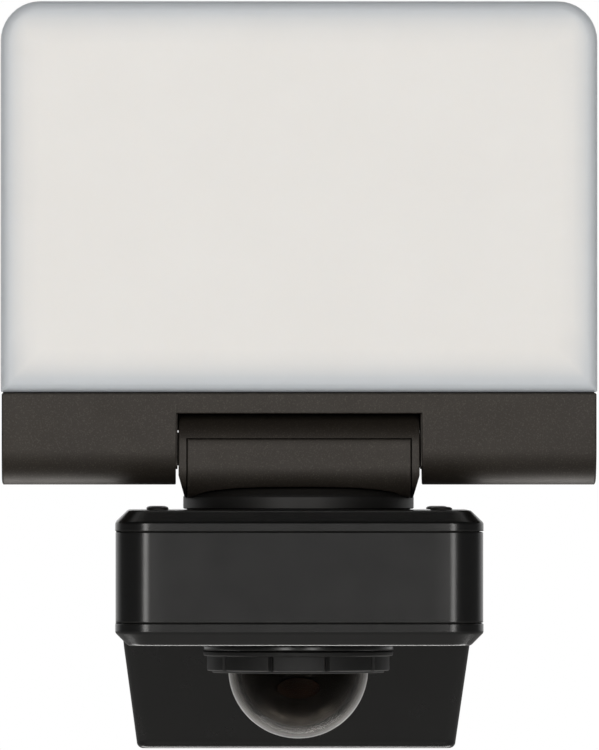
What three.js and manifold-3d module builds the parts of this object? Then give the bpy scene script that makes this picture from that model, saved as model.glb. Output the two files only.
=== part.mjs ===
// Wall floodlight with a tilting, swivelling light panel over a housing that carries a sensor dome.
// Units are millimetres. +X is the viewer's right, -Y points away from the wall, +Z is up.
// The origin is the centre of the wall plate's back face, which lies against the wall at y = 0.
import * as THREE from 'three';
import { mergeVertices } from 'three/addons/utils/BufferGeometryUtils.js';
import Module from 'manifold-3d';

const wasm = await Module();
wasm.setup();

// Driving dimensions
const gap = 0.3; // clearance between touching pieces
const roundSteps = 4; // facets on a quarter turn of a corner

const swivelY = -112; // swivel axis, far enough out for the panel to turn past the wall
const hingeY = -124; // tilt axis, in front of the swivel axis
const hingeZ = 58;
const swivelBack = swivelY - hingeY;

const panelWidth = 180;
const panelTop = 135.1; // above the tilt axis
const panelCorner = 12;
const diffuserDepth = 12.4;
const diffuserWall = 2.2;
const diffuserPlay = 0.3; // between the bar's top and the diffuser's lower edge
const barWidth = 179.4;
const barRadius = 10.75; // half of the bar's thickness and its rounded lower edge
const barTop = 16.9;
const cutWidth = 74.3;
const cutTop = 10.7; // also the radius of the hollow that the knuckle's barrel turns in
const lipLow = 5.6; // lower edge of the lip behind the barrel
const bossHalf = 8.8; // pad raised round the shaft on each arm: half depth, lower edge, height
const bossLow = -5.8;
const bossHeight = 0.5;
const armBore = 6.2;
const armBoreEnd = 56;
const backPlateFront = 2;
const backPlateBack = 5;
const finCount = 13;
const finPitch = 11;
const finThickness = 1.8;
const finMargin = 8; // plate left bare above and below the fins

const knuckleWidth = 72.7;
const knuckleRadius = 10.4;
const knuckleDrop = 14.8; // underside of the knuckle below the tilt axis
const knuckleArcZ = -5; // where the flat front starts to curl under
const knuckleArc = knuckleDrop + knuckleArcZ;
const inlayWidth = 67.4;
const inlayTop = 3.1;
const inlayThickness = 1.8;
const turretRadius = 34.9;
const turretCrown = -11.9; // flat middle of the turret's top
const turretShoulder = -14.6; // where its domed top meets its wall
const turretFlat = 18; // radius of the flat middle
const turretBase = -18.1; // underside of the turret below the tilt axis
const shaftRadius = 5;
const shaftBore = 3;
const hubRadius = 5.9;

const housingWidth = 110.9;
const housingFront = -153;
const housingBack = -58.6;
const housingTop = 39.6;
const housingBottom = -1.2;
const housingCorner = 10.5;
const chamferIn = 3.9;
const topChamferZ = 35.8;
const bottomChamferZ = 2.7;
const upperSeam = 33.1;
const lowerSeam = 5.6;
const bandInset = 0.1;
const housingWall = 3;
const coverSkin = 2.8;
const screwX = 42.7;
const screwRadius = 3.35;
const screwRise = 1;

const boxFront = 58;
const boxFrontLow = 40; // depth of the wall box at its lower end
const boxWidth = 106.3;
const boxWidthLow = 98;
const boxTop = 34;
const boxKnee = -1;
const boxBottom = -34;
const boxCorner = 4;
const boxWall = 3;
const boxBack = 1.2;

const domeY = -104;
const domeZ = -8.6;
const domeRadius = 21.2;
const domeWall = 1.7;
const coreRadius = 17.5;
const coreWall = 1.5;
const socketRadius = 29;
const socketBottom = -3;
const flangeTop = -3.3;
const flangeBottom = -4.7;
const gripRadius = 27.7;
const gripBottom = -9.8;
const gripLobes = 10;

// Finishes: colour, roughness, metalness
function finish(color, roughness, metalness) {
  return new THREE.MeshStandardMaterial({ color, roughness, metalness });
}
const finishes = {
  anthracite: finish(0x46423d, 0.5, 0.6),
  blackPlastic: finish(0x1c1c1b, 0.35, 0),
  boxPlastic: finish(0x202020, 0.45, 0),
  opal: finish(0xf0eee8, 0.45, 0),
  smoked: finish(0x4a4846, 0.1, 0),
  core: finish(0x12100f, 0.3, 0),
  lens: finish(0x3a261c, 0.15, 0),
  rubber: finish(0x151515, 0.9, 0),
  steel: finish(0x9a9a98, 0.35, 0.9),
  board: finish(0x1f5a34, 0.6, 0),
  whiteBoard: finish(0xe9e9e4, 0.5, 0),
  part: finish(0x2b2b30, 0.6, 0),
  lead: finish(0x303030, 0.7, 0),
};

// Solids

function solidOf(geometry) {
  const bare = geometry.clone();
  bare.deleteAttribute('normal');
  bare.deleteAttribute('uv');
  const merged = mergeVertices(bare, 1e-4);
  const at = merged.attributes.position;
  const kept = [];
  const corner = [0, 1, 2].map(() => new THREE.Vector3());
  let volume = 0;
  for (let i = 0; i < merged.index.count; i += 3) {
    const tri = [0, 1, 2].map((k) => merged.index.getX(i + k));
    if (new Set(tri).size === 3) {
      tri.forEach((v, k) => corner[k].fromBufferAttribute(at, v));
      volume += corner[0].dot(corner[1].clone().cross(corner[2]));
      kept.push(tri);
    }
  }
  const outward = volume > 0 ? kept : kept.map(([a, b, c]) => [a, c, b]);
  return new wasm.Manifold(new wasm.Mesh({
    numProp: 3,
    vertProperties: Float32Array.from(at.array),
    triVerts: Uint32Array.from(outward.flat()),
  }));
}

function geometryOf(solid) {
  const mesh = solid.getMesh();
  const geometry = new THREE.BufferGeometry();
  geometry.setAttribute('position', new THREE.BufferAttribute(mesh.vertProperties.slice(), 3));
  geometry.setIndex(new THREE.BufferAttribute(mesh.triVerts.slice(), 1));
  geometry.computeVertexNormals();
  return geometry;
}

const join = (...solids) => solids.reduce((a, b) => a.add(b));
const cut = (solid, ...tools) => tools.reduce((a, b) => a.subtract(b), solid);

function box(x0, x1, y0, y1, z0, z1) {
  const geometry = new THREE.BoxGeometry(x1 - x0, y1 - y0, z1 - z0);
  geometry.translate((x0 + x1) / 2, (y0 + y1) / 2, (z0 + z1) / 2);
  return solidOf(geometry);
}

// A round bar between two points
function rod(radius, from, to, sides = 20) {
  const a = new THREE.Vector3(...from);
  const b = new THREE.Vector3(...to);
  const geometry = new THREE.CylinderGeometry(radius, radius, a.distanceTo(b), sides);
  const direction = b.clone().sub(a).normalize();
  const turn = new THREE.Quaternion().setFromUnitVectors(new THREE.Vector3(0, 1, 0), direction);
  geometry.applyQuaternion(turn);
  geometry.translate(...a.clone().add(b).multiplyScalar(0.5).toArray());
  return solidOf(geometry);
}

// A round tube between two points, or a nut where it has fewer sides outside than in
const tube = (outer, inner, from, to, sides = 20, innerSides = Math.max(sides, 20)) => {
  const a = new THREE.Vector3(...from);
  const b = new THREE.Vector3(...to);
  const past = b.clone().sub(a).normalize();
  const bore = rod(inner, a.sub(past).toArray(), b.add(past).toArray(), innerSides);
  return rod(outer, from, to, sides).subtract(bore);
};

// An outline in Y and Z carried along X
function alongX(shape, from, to, curveSegments = roundSteps * 2) {
  const options = { depth: to - from, bevelEnabled: false, curveSegments };
  const geometry = new THREE.ExtrudeGeometry(shape, options);
  const turn = new THREE.Matrix4().makeBasis(
    new THREE.Vector3(0, 1, 0),
    new THREE.Vector3(0, 0, 1),
    new THREE.Vector3(1, 0, 0),
  );
  geometry.applyMatrix4(turn);
  geometry.translate(from, 0, 0);
  return solidOf(geometry);
}

// An outline in X and Y carried up Z
function alongZ(shape, from, to, curveSegments = roundSteps * 2) {
  const options = { depth: to - from, bevelEnabled: false, curveSegments };
  const geometry = new THREE.ExtrudeGeometry(shape, options);
  geometry.translate(0, 0, from);
  return solidOf(geometry);
}

// A closed outline of radius and height turned about a vertical axis
function turned(points, sides = 32) {
  const profile = points.map(([r, z]) => new THREE.Vector2(r, z));
  const geometry = new THREE.LatheGeometry(profile, sides);
  geometry.rotateX(Math.PI / 2);
  return solidOf(geometry);
}

// A rectangle whose four corner radii run from the lower left, counter-clockwise
function outline(x0, x1, y0, y1, radii) {
  const centres = [[x0, y0, 1, 1], [x1, y0, -1, 1], [x1, y1, -1, -1], [x0, y1, 1, -1]];
  const points = [];
  centres.forEach(([x, y, sx, sy], k) => {
    const r = Math.max(radii[k], 0.05);
    for (let i = 0; i <= roundSteps; i += 1) {
      const angle = Math.PI + ((k + i / roundSteps) * Math.PI) / 2;
      points.push(new THREE.Vector2(x + sx * r + r * Math.cos(angle), y + sy * r + r * Math.sin(angle)));
    }
  });
  return points;
}

// Outlines of equal length joined level by level; place turns an outline point and its level into x, y, z
function loft(levels, place) {
  const count = levels[0].points.length;
  const at = [];
  levels.forEach(({ level, points }) => {
    points.forEach((p) => at.push(...place(p.x, p.y, level)));
  });
  const index = [];
  for (let row = 0; row < levels.length - 1; row += 1) {
    for (let i = 0; i < count; i += 1) {
      const a = row * count + i;
      const b = row * count + ((i + 1) % count);
      index.push(a, b, b + count, a, b + count, a + count);
    }
  }
  const last = (levels.length - 1) * count;
  for (let i = 1; i < count - 1; i += 1) {
    index.push(0, i + 1, i, last, last + i, last + i + 1);
  }
  const geometry = new THREE.BufferGeometry();
  geometry.setAttribute('position', new THREE.Float32BufferAttribute(at, 3));
  geometry.setIndex(index);
  return solidOf(geometry);
}

const upwards = (x, y, z) => [x, y, z];
const outwards = (x, z, y) => [x, y, z];

// A round lead through the given points
function lead(radius, points, steps) {
  const path = new THREE.CatmullRomCurve3(points.map((p) => new THREE.Vector3(...p)), false, 'centripetal');
  const section = new THREE.Shape().absarc(0, 0, radius, 0, 2 * Math.PI);
  const sides = 4;
  return solidOf(new THREE.ExtrudeGeometry(section, { extrudePath: path, steps, curveSegments: sides }));
}

function place(group, name, solid, material) {
  const mesh = new THREE.Mesh(geometryOf(solid), material);
  mesh.name = name;
  group.add(mesh);
}

// Light panel, measured from the tilt axis

const panelLow = barTop + diffuserPlay;

// The panel's outline set in by the given amount, with round upper corners
function panelOutline(inset) {
  const corner = panelCorner - inset;
  const half = panelWidth / 2 - inset;
  return outline(-half, half, panelLow + inset, panelTop - inset, [0, 0, corner, corner]);
}

function panelSlab(inset, from, to) {
  const points = panelOutline(inset);
  return loft([{ level: from, points }, { level: to, points }], outwards);
}

function panelRing(outer, inner, from, to) {
  return panelSlab(outer, from, to).subtract(panelSlab(inner, from - 1, to + 1));
}

const diffuserFront = -barRadius;
const diffuserBack = diffuserFront + diffuserDepth;
const postPlaces = [[-77.5, 30], [77.5, 30], [77.5, 122], [-77.5, 122]];
const postRadius = 3;
const screwShank = 1.5;
const ductX = 50;
const ductY = 7.9;
const ductZ = 29;
const ductRadius = 2.2;
const ductHalf = 4.5;
const padPlaces = [[-60, 40], [60, 40], [-60, 112], [60, 112]]; // where the LED board rests
const padRadius = 4;

function barShape() {
  const shape = new THREE.Shape();
  shape.moveTo(-barRadius, barTop);
  shape.lineTo(-barRadius, 0);
  shape.absarc(0, 0, barRadius, Math.PI, 2 * Math.PI, false);
  shape.lineTo(barRadius, barTop);
  return shape;
}

function headFrame() {
  const bar = alongX(barShape(), -barWidth / 2, barWidth / 2);
  const plateInset = 0.6;
  const plate = panelSlab(plateInset, backPlateFront, backPlateBack);
  const rootHalf = barWidth / 2 - 1;
  const root = box(-rootHalf, rootHalf, backPlateFront, backPlateBack, barTop - 1, panelLow + 2);
  const rim = panelRing(4, 6, -3, backPlateFront + 1);
  const fins = [];
  for (let i = 0; i < finCount; i += 1) {
    const x = (i - (finCount - 1) / 2) * finPitch;
    const half = finThickness / 2;
    const [low, high] = [barTop + finMargin, panelTop - finMargin];
    fins.push(box(x - half, x + half, backPlateBack - 1, barRadius, low, high));
  }
  const duct = box(ductX - ductHalf, ductX + ductHalf, backPlateBack - 1, barRadius, barTop - 1, ductZ + 5);
  const pads = padPlaces.map(([x, z]) => rod(padRadius, [x, -0.7, z], [x, 3, z], 16));
  const cutHalf = cutWidth / 2;
  const past = barRadius + 1;
  const cutOut = join(
    box(-cutHalf, cutHalf, -past, 0, -past, cutTop),
    box(-cutHalf, cutHalf, -1, past, -past, lipLow),
    rod(cutTop, [-cutHalf, 0, 0], [cutHalf, 0, 0], 40),
  );
  const bossFace = cutHalf - bossHeight;
  const bosses = [
    box(-cutHalf - 1, -bossFace, -bossHalf, bossHalf, bossLow, cutTop + 1),
    box(bossFace, cutHalf + 1, -bossHalf, bossHalf, bossLow, cutTop + 1),
  ];
  const bores = [-1, 1].map((side) => (
    rod(armBore, [side * (cutHalf - 1), 0, 0], [side * armBoreEnd, 0, 0], 24)
  ));
  const wireUp = rod(ductRadius, [ductX, ductY, 0], [ductX, ductY, ductZ + 2], 16);
  const wireIn = rod(ductRadius, [ductX, ductY, ductZ], [ductX, 0, ductZ], 16);
  const bends = [
    box(ductX - 2, ductX + 2, 1, ductY + 1.6, 0, 9),
    box(ductX - 2, ductX + 2, backPlateBack, ductY + 1.6, ductZ - 4, ductZ + 2),
  ];
  const holes = postPlaces.map(([x, z]) => rod(screwShank + 0.4, [x, 0, z], [x, backPlateBack + 1, z], 12));
  const frame = join(cut(join(bar, plate, root, rim, duct, ...fins, ...pads), cutOut), ...bosses);
  return cut(frame, ...bores, wireUp, wireIn, ...bends, ...holes);
}

function diffuser() {
  const shell = loft([
    { level: diffuserFront, points: panelOutline(3.2) },
    { level: diffuserFront + 0.35, points: panelOutline(1.8) },
    { level: diffuserFront + 1.1, points: panelOutline(0.8) },
    { level: diffuserFront + 2.2, points: panelOutline(0.2) },
    { level: diffuserFront + 3.4, points: panelOutline(0) },
    { level: diffuserBack, points: panelOutline(0) },
  ], outwards);
  const hollow = panelSlab(diffuserWall, diffuserFront + diffuserWall, diffuserBack + 1);
  const posts = postPlaces.map(([x, z]) => (
    rod(postRadius, [x, diffuserFront + 1, z], [x, diffuserBack, z], 16)
  ));
  const threads = postPlaces.map(([x, z]) => (
    rod(screwShank + 0.3, [x, -6.6, z], [x, diffuserBack + 1, z], 12)
  ));
  return cut(join(shell.subtract(hollow), ...posts), ...threads);
}

function ledBoard() {
  const boardBack = -1;
  const boardFront = -2.6;
  const chipFront = -3.4;
  const halfWidth = 72;
  const halfHeight = 47;
  const columnPitch = 20;
  const rowPitch = 23;
  const middle = (panelLow + panelTop) / 2;
  const plate = box(-halfWidth, halfWidth, boardFront, boardBack, middle - halfHeight, middle + halfHeight);
  const chips = [];
  for (let row = -1.5; row <= 1.5; row += 1) {
    for (let column = -3; column <= 3; column += 1) {
      const x = column * columnPitch;
      const z = middle + row * rowPitch;
      chips.push(box(x - 1.7, x + 1.7, chipFront, boardFront + 0.2, z - 1.4, z + 1.4));
    }
  }
  return join(plate, ...chips);
}

function diffusingSheet() {
  const sheet = panelSlab(diffuserWall + 0.8, -7.9, -7.1);
  const notches = postPlaces.map(([x, z]) => rod(postRadius + 0.5, [x, -9, z], [x, -6, z], 16));
  return cut(sheet, ...notches);
}

function backScrew([x, z]) {
  const head = rod(3, [x, backPlateBack + gap, z], [x, backPlateBack + 2.3, z], 16);
  const shank = rod(screwShank, [x, -6.2, z], [x, backPlateBack + 1, z], 12);
  return join(head, shank);
}

// Pivot of the panel: a hollow stub shaft on each side, clamped by a nut over a spring washer

const cheekIn = 29;
const shaftStart = 24; // inner end of the journal, from the middle
const hubEnd = 46;
const chamberRadius = 7.9; // round room for nuts and washers in the knuckle
const bushSeat = 6.8;
const leadRoom = 4; // half width of the lead's channels
const throatRadius = 8;
const stemRadius = 12;
const stemBore = 7;
const stemLow = -34;
const flangeRadius = 18;
const flangeTopZ = -15.9;
const sealInner = 31.5;
const sealOuter = 33.9;
const sealReach = 0.26;

function stubShaft(side) {
  const journal = rod(shaftRadius, [side * shaftStart, 0, 0], [side * (cutWidth / 2 - 0.2), 0, 0], 24);
  const hub = rod(hubRadius, [side * (knuckleWidth / 2 + gap), 0, 0], [side * hubEnd, 0, 0], 24);
  const bore = rod(shaftBore, [side * (shaftStart - 1), 0, 0], [side * (hubEnd + 1), 0, 0], 20);
  return cut(join(journal, hub), bore);
}

const pivotRing = (side, outer, from, to, sides) => tube(
  outer,
  shaftRadius + gap,
  [side * from, 0, 0],
  [side * to, 0, 0],
  sides,
);

// Knuckle, measured from the tilt axis

// Side outline of the knuckle block, set in all round
function knuckleShape(inset) {
  const radius = knuckleRadius - inset;
  const rearAngle = -Math.PI / 12;
  const arcY = knuckleArc - knuckleRadius;
  const shape = new THREE.Shape();
  shape.moveTo(-radius, 0);
  shape.lineTo(-radius, knuckleArcZ);
  shape.absarc(arcY, knuckleArcZ, knuckleArc - inset, Math.PI, 1.5 * Math.PI, false);
  shape.lineTo(12 - inset, -knuckleDrop + inset);
  shape.lineTo(12 - inset, -9);
  shape.absarc(0, 0, radius, rearAngle, Math.PI, false);
  return shape;
}

const turretCylinder = (radius, z0, z1, sides = 36) => rod(
  radius,
  [0, swivelBack, z0],
  [0, swivelBack, z1],
  sides,
);

// A disc with a domed top, larger all round by the given amount
function turret(grow) {
  const profile = [[0, turretBase - grow], [turretRadius + grow, turretBase - grow]];
  for (let i = 0; i <= 5; i += 1) {
    const angle = (i / 5) * (Math.PI / 2);
    const radius = turretFlat + (turretRadius - turretFlat) * Math.cos(angle) + grow;
    profile.push([radius, turretShoulder + (turretCrown - turretShoulder) * Math.sin(angle) + grow]);
  }
  profile.push([0, turretCrown + grow]);
  return turned(profile, 40).translate([0, swivelBack, 0]);
}

function knuckle() {
  const half = knuckleWidth / 2;
  const block = alongX(knuckleShape(0), -half, half);
  const inlayHalf = inlayWidth / 2 + 0.35;
  const pocketOuter = box(-inlayHalf, inlayHalf, -20, 1.35, -20, inlayTop + 0.35);
  const pocketFloor = alongX(knuckleShape(inlayThickness + gap), -inlayHalf - 1, inlayHalf + 1);
  const pocket = pocketOuter.subtract(pocketFloor);
  const slants = [-1, 1].map((side) => {
    const wedge = new THREE.Shape();
    wedge.moveTo(side * half, -8);
    wedge.lineTo(side * (half - 1.9), -knuckleDrop - 0.01);
    wedge.lineTo(side * (half - 1.9), -20);
    wedge.lineTo(side * (half + 5), -20);
    wedge.lineTo(side * (half + 5), -8);
    const geometry = new THREE.ExtrudeGeometry(wedge, { depth: 60, bevelEnabled: false });
    geometry.rotateX(Math.PI / 2);
    geometry.translate(0, 30, 0);
    return solidOf(geometry);
  });
  const body = join(cut(block, pocket, ...slants), turret(0));
  const chamber = join(
    rod(chamberRadius, [-cheekIn, 0, 0], [cheekIn, 0, 0], 24),
    box(-cheekIn, cheekIn, -9, 4, -8.2, 2.4),
  );
  const bushes = rod(bushSeat, [-half - 1, 0, 0], [half + 1, 0, 0], 24);
  const channel = box(-leadRoom, leadRoom, -2, 10.5, -16.8, -10.5);
  const rise = box(-leadRoom, leadRoom, -2, 6, -16.8, -7);
  const throat = turretCylinder(throatRadius, turretBase - 1, -13.5);
  const flangeSeat = turretCylinder(flangeRadius + 0.4, turretBase - 1, flangeTopZ + gap);
  const sealGroove = turretCylinder(sealOuter + gap, turretBase - 1, turretBase + 1.9)
    .subtract(turretCylinder(sealInner - gap, turretBase - 2, turretBase + 3));
  return cut(body, chamber, bushes, channel, rise, throat, flangeSeat, sealGroove);
}

function inlay() {
  const half = inlayWidth / 2;
  const outer = alongX(knuckleShape(0), -half, half);
  const inner = alongX(knuckleShape(inlayThickness), -half - 1, half + 1);
  const window = box(-half, half, -20, 1, -20, inlayTop);
  return outer.subtract(inner).intersect(window).subtract(turret(0.35));
}

// Swivel parts, measured from the tilt axis

function spigot() {
  const flange = turretCylinder(flangeRadius, turretBase + 0.1, flangeTopZ, 24);
  const stem = turretCylinder(stemRadius, stemLow, flangeTopZ, 24);
  return cut(join(flange, stem), turretCylinder(stemBore, stemLow - 2, flangeTopZ + 2, 20));
}

const swivelRing = (outer, inner, z0, z1, sides) => turretCylinder(outer, z0, z1, sides)
  .subtract(turretCylinder(inner, z0 - 1, z1 + 1, sides));

// Housing, measured from the wall

// The housing's plan outline set in by the given amount
function plan(inset) {
  const half = housingWidth / 2 - inset;
  const corner = Math.max(housingCorner - inset, 1);
  return outline(-half, half, housingFront + inset, housingBack - inset, [corner, corner, corner, corner]);
}

const slab = (inset, from, to) => loft([
  { level: from, points: plan(inset) },
  { level: to, points: plan(inset) },
], upwards);

const ring = (outer, inner, from, to) => slab(outer, from, to).subtract(slab(inner, from - 1, to + 1));

const coverScrewPlaces = [
  ['front_left', -screwX, housingFront + 11.5],
  ['front_right', screwX, housingFront + 11.5],
  ['rear_left', -screwX, housingBack - 11.5],
  ['rear_right', screwX, housingBack - 11.5],
];
function coverHoles(z0, z1, radius) {
  return coverScrewPlaces.map(([, x, y]) => rod(radius, [x, y, z0], [x, y, z1], 8));
}
const sealLap = 1.5;
const coverPost = 4; // radius of the posts that take the cover screws
const screwHole = 1.9;
const headHole = 3.4;
const socketHoleRadius = 20;
const linkHoleRadius = 10;
const linkZ = 18;

function topCover() {
  const shell = loft([
    { level: upperSeam + 0.15, points: plan(0) },
    { level: topChamferZ, points: plan(0) },
    { level: housingTop, points: plan(chamferIn) },
  ], upwards);
  const lap = slab(sealLap, upperSeam, upperSeam + sealLap);
  const hollow = slab(housingWall + 1, upperSeam, housingTop - coverSkin);
  const stemHole = rod(stemRadius + 0.4, [0, swivelY, housingTop - 5], [0, swivelY, housingTop + 1], 40);
  return cut(shell, lap, hollow, stemHole, ...coverHoles(30, housingTop + 1, screwHole));
}

function bottomCover() {
  const shell = loft([
    { level: housingBottom, points: plan(chamferIn) },
    { level: bottomChamferZ, points: plan(0) },
    { level: lowerSeam - 0.15, points: plan(0) },
  ], upwards);
  const lap = slab(sealLap, lowerSeam - sealLap, lowerSeam);
  const hollow = slab(housingWall + 1, housingBottom + coverSkin, lowerSeam);
  const socketHole = rod(socketHoleRadius, [0, domeY, housingBottom - 1], [0, domeY, lowerSeam], 40);
  const posts = coverScrewPlaces.map(([, x, y]) => (
    rod(coverPost, [x, y, housingBottom + 1], [x, y, lowerSeam - gap], 10)
  ));
  return cut(join(cut(shell, lap, hollow), ...posts), socketHole, ...coverHoles(1, lowerSeam + 1, 1.8));
}

function band() {
  const wall = ring(bandInset, housingWall, lowerSeam + 0.15, upperSeam - 0.15);
  const laps = [lowerSeam, upperSeam - sealLap].map((z) => slab(sealLap, z, z + sealLap));
  const bosses = coverScrewPlaces.map(([, x, y]) => (
    rod(coverPost, [x, y, lowerSeam + 2], [x, y, upperSeam - 2], 10)
  ));
  const webs = coverScrewPlaces.map(([, x, y]) => {
    const side = Math.sign(x);
    const reach = housingWidth / 2 - 1.5;
    const [x0, x1] = side > 0 ? [x, reach] : [-reach, x];
    return box(x0, x1, y - 1, y + 1, lowerSeam + 2, upperSeam - 2);
  });
  const linkHole = rod(linkHoleRadius, [0, housingBack - 5, linkZ], [0, housingBack + 2, linkZ], 32);
  return cut(join(cut(wall, ...laps), ...bosses, ...webs), linkHole, ...coverHoles(0, 40, screwHole));
}

function coverScrew([, x, y]) {
  const head = turned([
    [0, 0],
    [screwRadius, 0],
    [screwRadius, screwRise * 0.3],
    [screwRadius * 0.82, screwRise * 0.7],
    [screwRadius * 0.45, screwRise * 0.93],
    [0, screwRise],
  ], 20);
  const shank = rod(screwShank, [0, 0, -36], [0, 0, 0.4], 12);
  return join(head, shank).translate([x, y, housingTop + 0.02]);
}

// Wall box, open at the back

// Plan outline of the wall box for a width and a depth
function boxOutline(width, depth, inset) {
  const half = width / 2 - inset;
  const corner = Math.max(boxCorner - inset, 1);
  return outline(-half, half, -depth + inset, -boxBack, [corner, corner, 0, 0]);
}

function boxLevels(inset) {
  const lowInset = inset === 0 ? 2 : 0;
  const levels = [
    [boxBottom + inset, boxWidthLow - 2 * lowInset, boxFrontLow - lowInset],
    [boxBottom + inset + lowInset, boxWidthLow, boxFrontLow],
    [boxKnee, boxWidth, boxFront],
    [boxTop - inset, boxWidth, boxFront],
  ];
  const used = inset === 0 ? levels : levels.slice(1);
  return used.map(([level, width, depth]) => ({ level, points: boxOutline(width, depth, inset) }));
}

const boxScrewX = 30;
const boxScrewY = -20;

function wallBox() {
  const outer = loft(boxLevels(0), upwards);
  const inner = loft(boxLevels(boxWall), upwards);
  const mouth = box(-44, 44, -4, 0, boxBottom + boxWall, boxTop - boxWall);
  const linkHole = rod(linkHoleRadius, [0, -boxFront - 2, linkZ], [0, -boxFront + 5, linkZ], 16);
  const screws = [-1, 1].flatMap((side) => {
    const spot = (z) => [side * boxScrewX, boxScrewY, z];
    return [
      rod(screwHole, spot(boxBottom - 1), spot(boxBottom + 4), 12),
      rod(headHole, spot(boxBottom - 1), spot(boxBottom + 1.6), 16),
    ];
  });
  return cut(outer, inner, mouth, linkHole, ...screws);
}

function wallGasket() {
  const seal = (inset) => {
    const low = boxWidthLow / 2 - inset;
    const high = boxWidth / 2 - inset;
    const shape = new THREE.Shape();
    shape.moveTo(-low, boxBottom + inset);
    shape.lineTo(low, boxBottom + inset);
    shape.lineTo(high, boxKnee);
    shape.lineTo(high, boxTop - inset);
    shape.lineTo(-high, boxTop - inset);
    shape.lineTo(-high, boxKnee);
    return shape;
  };
  const wide = new THREE.ExtrudeGeometry(seal(0.5), { depth: 0.9, bevelEnabled: false });
  const hole = new THREE.ExtrudeGeometry(seal(2.4), { depth: 3, bevelEnabled: false });
  hole.translate(0, 0, -1);
  wide.rotateX(Math.PI / 2);
  hole.rotateX(Math.PI / 2);
  return solidOf(wide).subtract(solidOf(hole));
}

const plateThickness = 4;
const plateHalfWidth = 42;
const plateHalfHeight = 28;
const cableZ = 15;
const cableHoleRadius = 8;
const fixingX = 34;
const fixingRadius = 2.6;

function wallPlate() {
  const plate = box(-plateHalfWidth, plateHalfWidth, -plateThickness, 0, -plateHalfHeight, plateHalfHeight);
  const lugs = [-1, 1].map((side) => {
    const x = side * boxScrewX;
    return box(x - 4, x + 4, boxScrewY - 5, -plateThickness + 1, -30, -25);
  });
  const cableHole = rod(cableHoleRadius, [0, -6, cableZ], [0, 1, cableZ], 16);
  const fixings = [-1, 1].map((side) => (
    rod(fixingRadius, [side * fixingX, -6, 0], [side * fixingX, 1, 0], 20)
  ));
  const threads = [-1, 1].map((side) => {
    const x = side * boxScrewX;
    return rod(1.8, [x, boxScrewY, -31], [x, boxScrewY, -24], 12);
  });
  return cut(join(plate, ...lugs), cableHole, ...fixings, ...threads);
}

function boxScrew(side) {
  const x = side * boxScrewX;
  const head = rod(3.1, [x, boxScrewY, boxBottom + 0.1], [x, boxScrewY, boxBottom + 1.4], 16);
  const shank = rod(screwShank, [x, boxScrewY, boxBottom + 1], [x, boxScrewY, boxBottom + 9], 12);
  return join(head, shank);
}

function grommet() {
  const body = tube(7.7, 5, [0, -7, cableZ], [0, -0.2, cableZ], 16);
  const lip = tube(9.4, 5, [0, -6.2, cableZ], [0, -plateThickness - 0.3, cableZ], 16);
  return join(body, lip);
}

function terminalBlock() {
  const body = box(-17, 17, -17, -plateThickness - gap, -18, -7);
  const bores = [-12, 0, 12].map((x) => rod(2.4, [x, -10.5, -19], [x, -10.5, -6], 12));
  const wells = [-12, 0, 12].map((x) => rod(2, [x, -18, -12.5], [x, -10.5, -12.5], 12));
  return cut(body, ...bores, ...wells);
}

function linkSleeve() {
  const stem = tube(9.6, 7.4, [0, -69, linkZ], [0, -50.6, linkZ], 16);
  const flange = tube(13, 7.4, [0, -boxFront + boxWall + gap, linkZ], [0, -50.6, linkZ], 16);
  return join(stem, flange);
}

// Circuit boards and parts in the housing

function powerBoard() {
  const board = box(-47, 47, -140, -69, 11, 12.6);
  const notches = coverScrewPlaces.map(([, x, y]) => rod(6, [x, y, 5], [x, y, 20], 16));
  const window = rod(9, [0, domeY, 5], [0, domeY, 20], 28);
  return cut(board, ...notches, window);
}

function transformer() {
  const core = box(-42, -21, -117, -93, 12.9, 29);
  const coil = rod(8.2, [-31.5, -123, 21.2], [-31.5, -87, 21.2], 24);
  return join(core, coil);
}

// Sensor unit, measured from the dome's axis and the origin's height

function sensorSocket() {
  return turned([
    [17, socketBottom],
    [socketRadius, socketBottom],
    [socketRadius, housingBottom - 0.3],
    [19.6, housingBottom - 0.3],
    [19.6, 5],
    [17, 5],
    [17, socketBottom],
  ], 36);
}

function gripRing() {
  const core = turned([
    [domeRadius + gap, gripBottom],
    [gripRadius - 1.6, gripBottom],
    [gripRadius - 1.6, flangeBottom],
    [socketRadius - 0.3, flangeBottom],
    [socketRadius - 0.1, flangeTop],
    [16.6, flangeTop],
    [16.6, 7],
    [14.5, 7],
    [14.5, -4.9],
    [domeRadius + gap, -4.9],
    [domeRadius + gap, gripBottom],
  ], 40);
  const notch = Math.PI / 60;
  const lobes = [];
  for (let i = 0; i < gripLobes; i += 1) {
    const from = ((i - 0.5) * 2 * Math.PI) / gripLobes - Math.PI / 2 + notch;
    const to = from + (2 * Math.PI) / gripLobes - 2 * notch;
    const shape = new THREE.Shape();
    shape.absarc(0, 0, gripRadius, from, to, false);
    shape.absarc(0, 0, gripRadius - 3, to, from, true);
    lobes.push(alongZ(shape, gripBottom + 0.6, flangeBottom + 0.2, 3));
  }
  return join(core, ...lobes);
}

// Part of a ball's shell from its lowest point up to the given height
function bowl(radius, wall, rim, sides, rows) {
  const arc = (r, backwards) => {
    const end = Math.asin((rim - domeZ) / r);
    const points = [];
    for (let i = 0; i <= rows; i += 1) {
      const angle = -Math.PI / 2 + ((end + Math.PI / 2) * i) / rows;
      points.push([i === 0 ? 0 : r * Math.cos(angle), domeZ + r * Math.sin(angle)]);
    }
    return backwards ? points.reverse() : points;
  };
  return turned([...arc(radius, false), ...arc(radius - wall, true)], sides);
}

const lensPitch = Math.PI / 9;
const lensWide = 6.8;
const lensHigh = 3.8;

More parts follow.
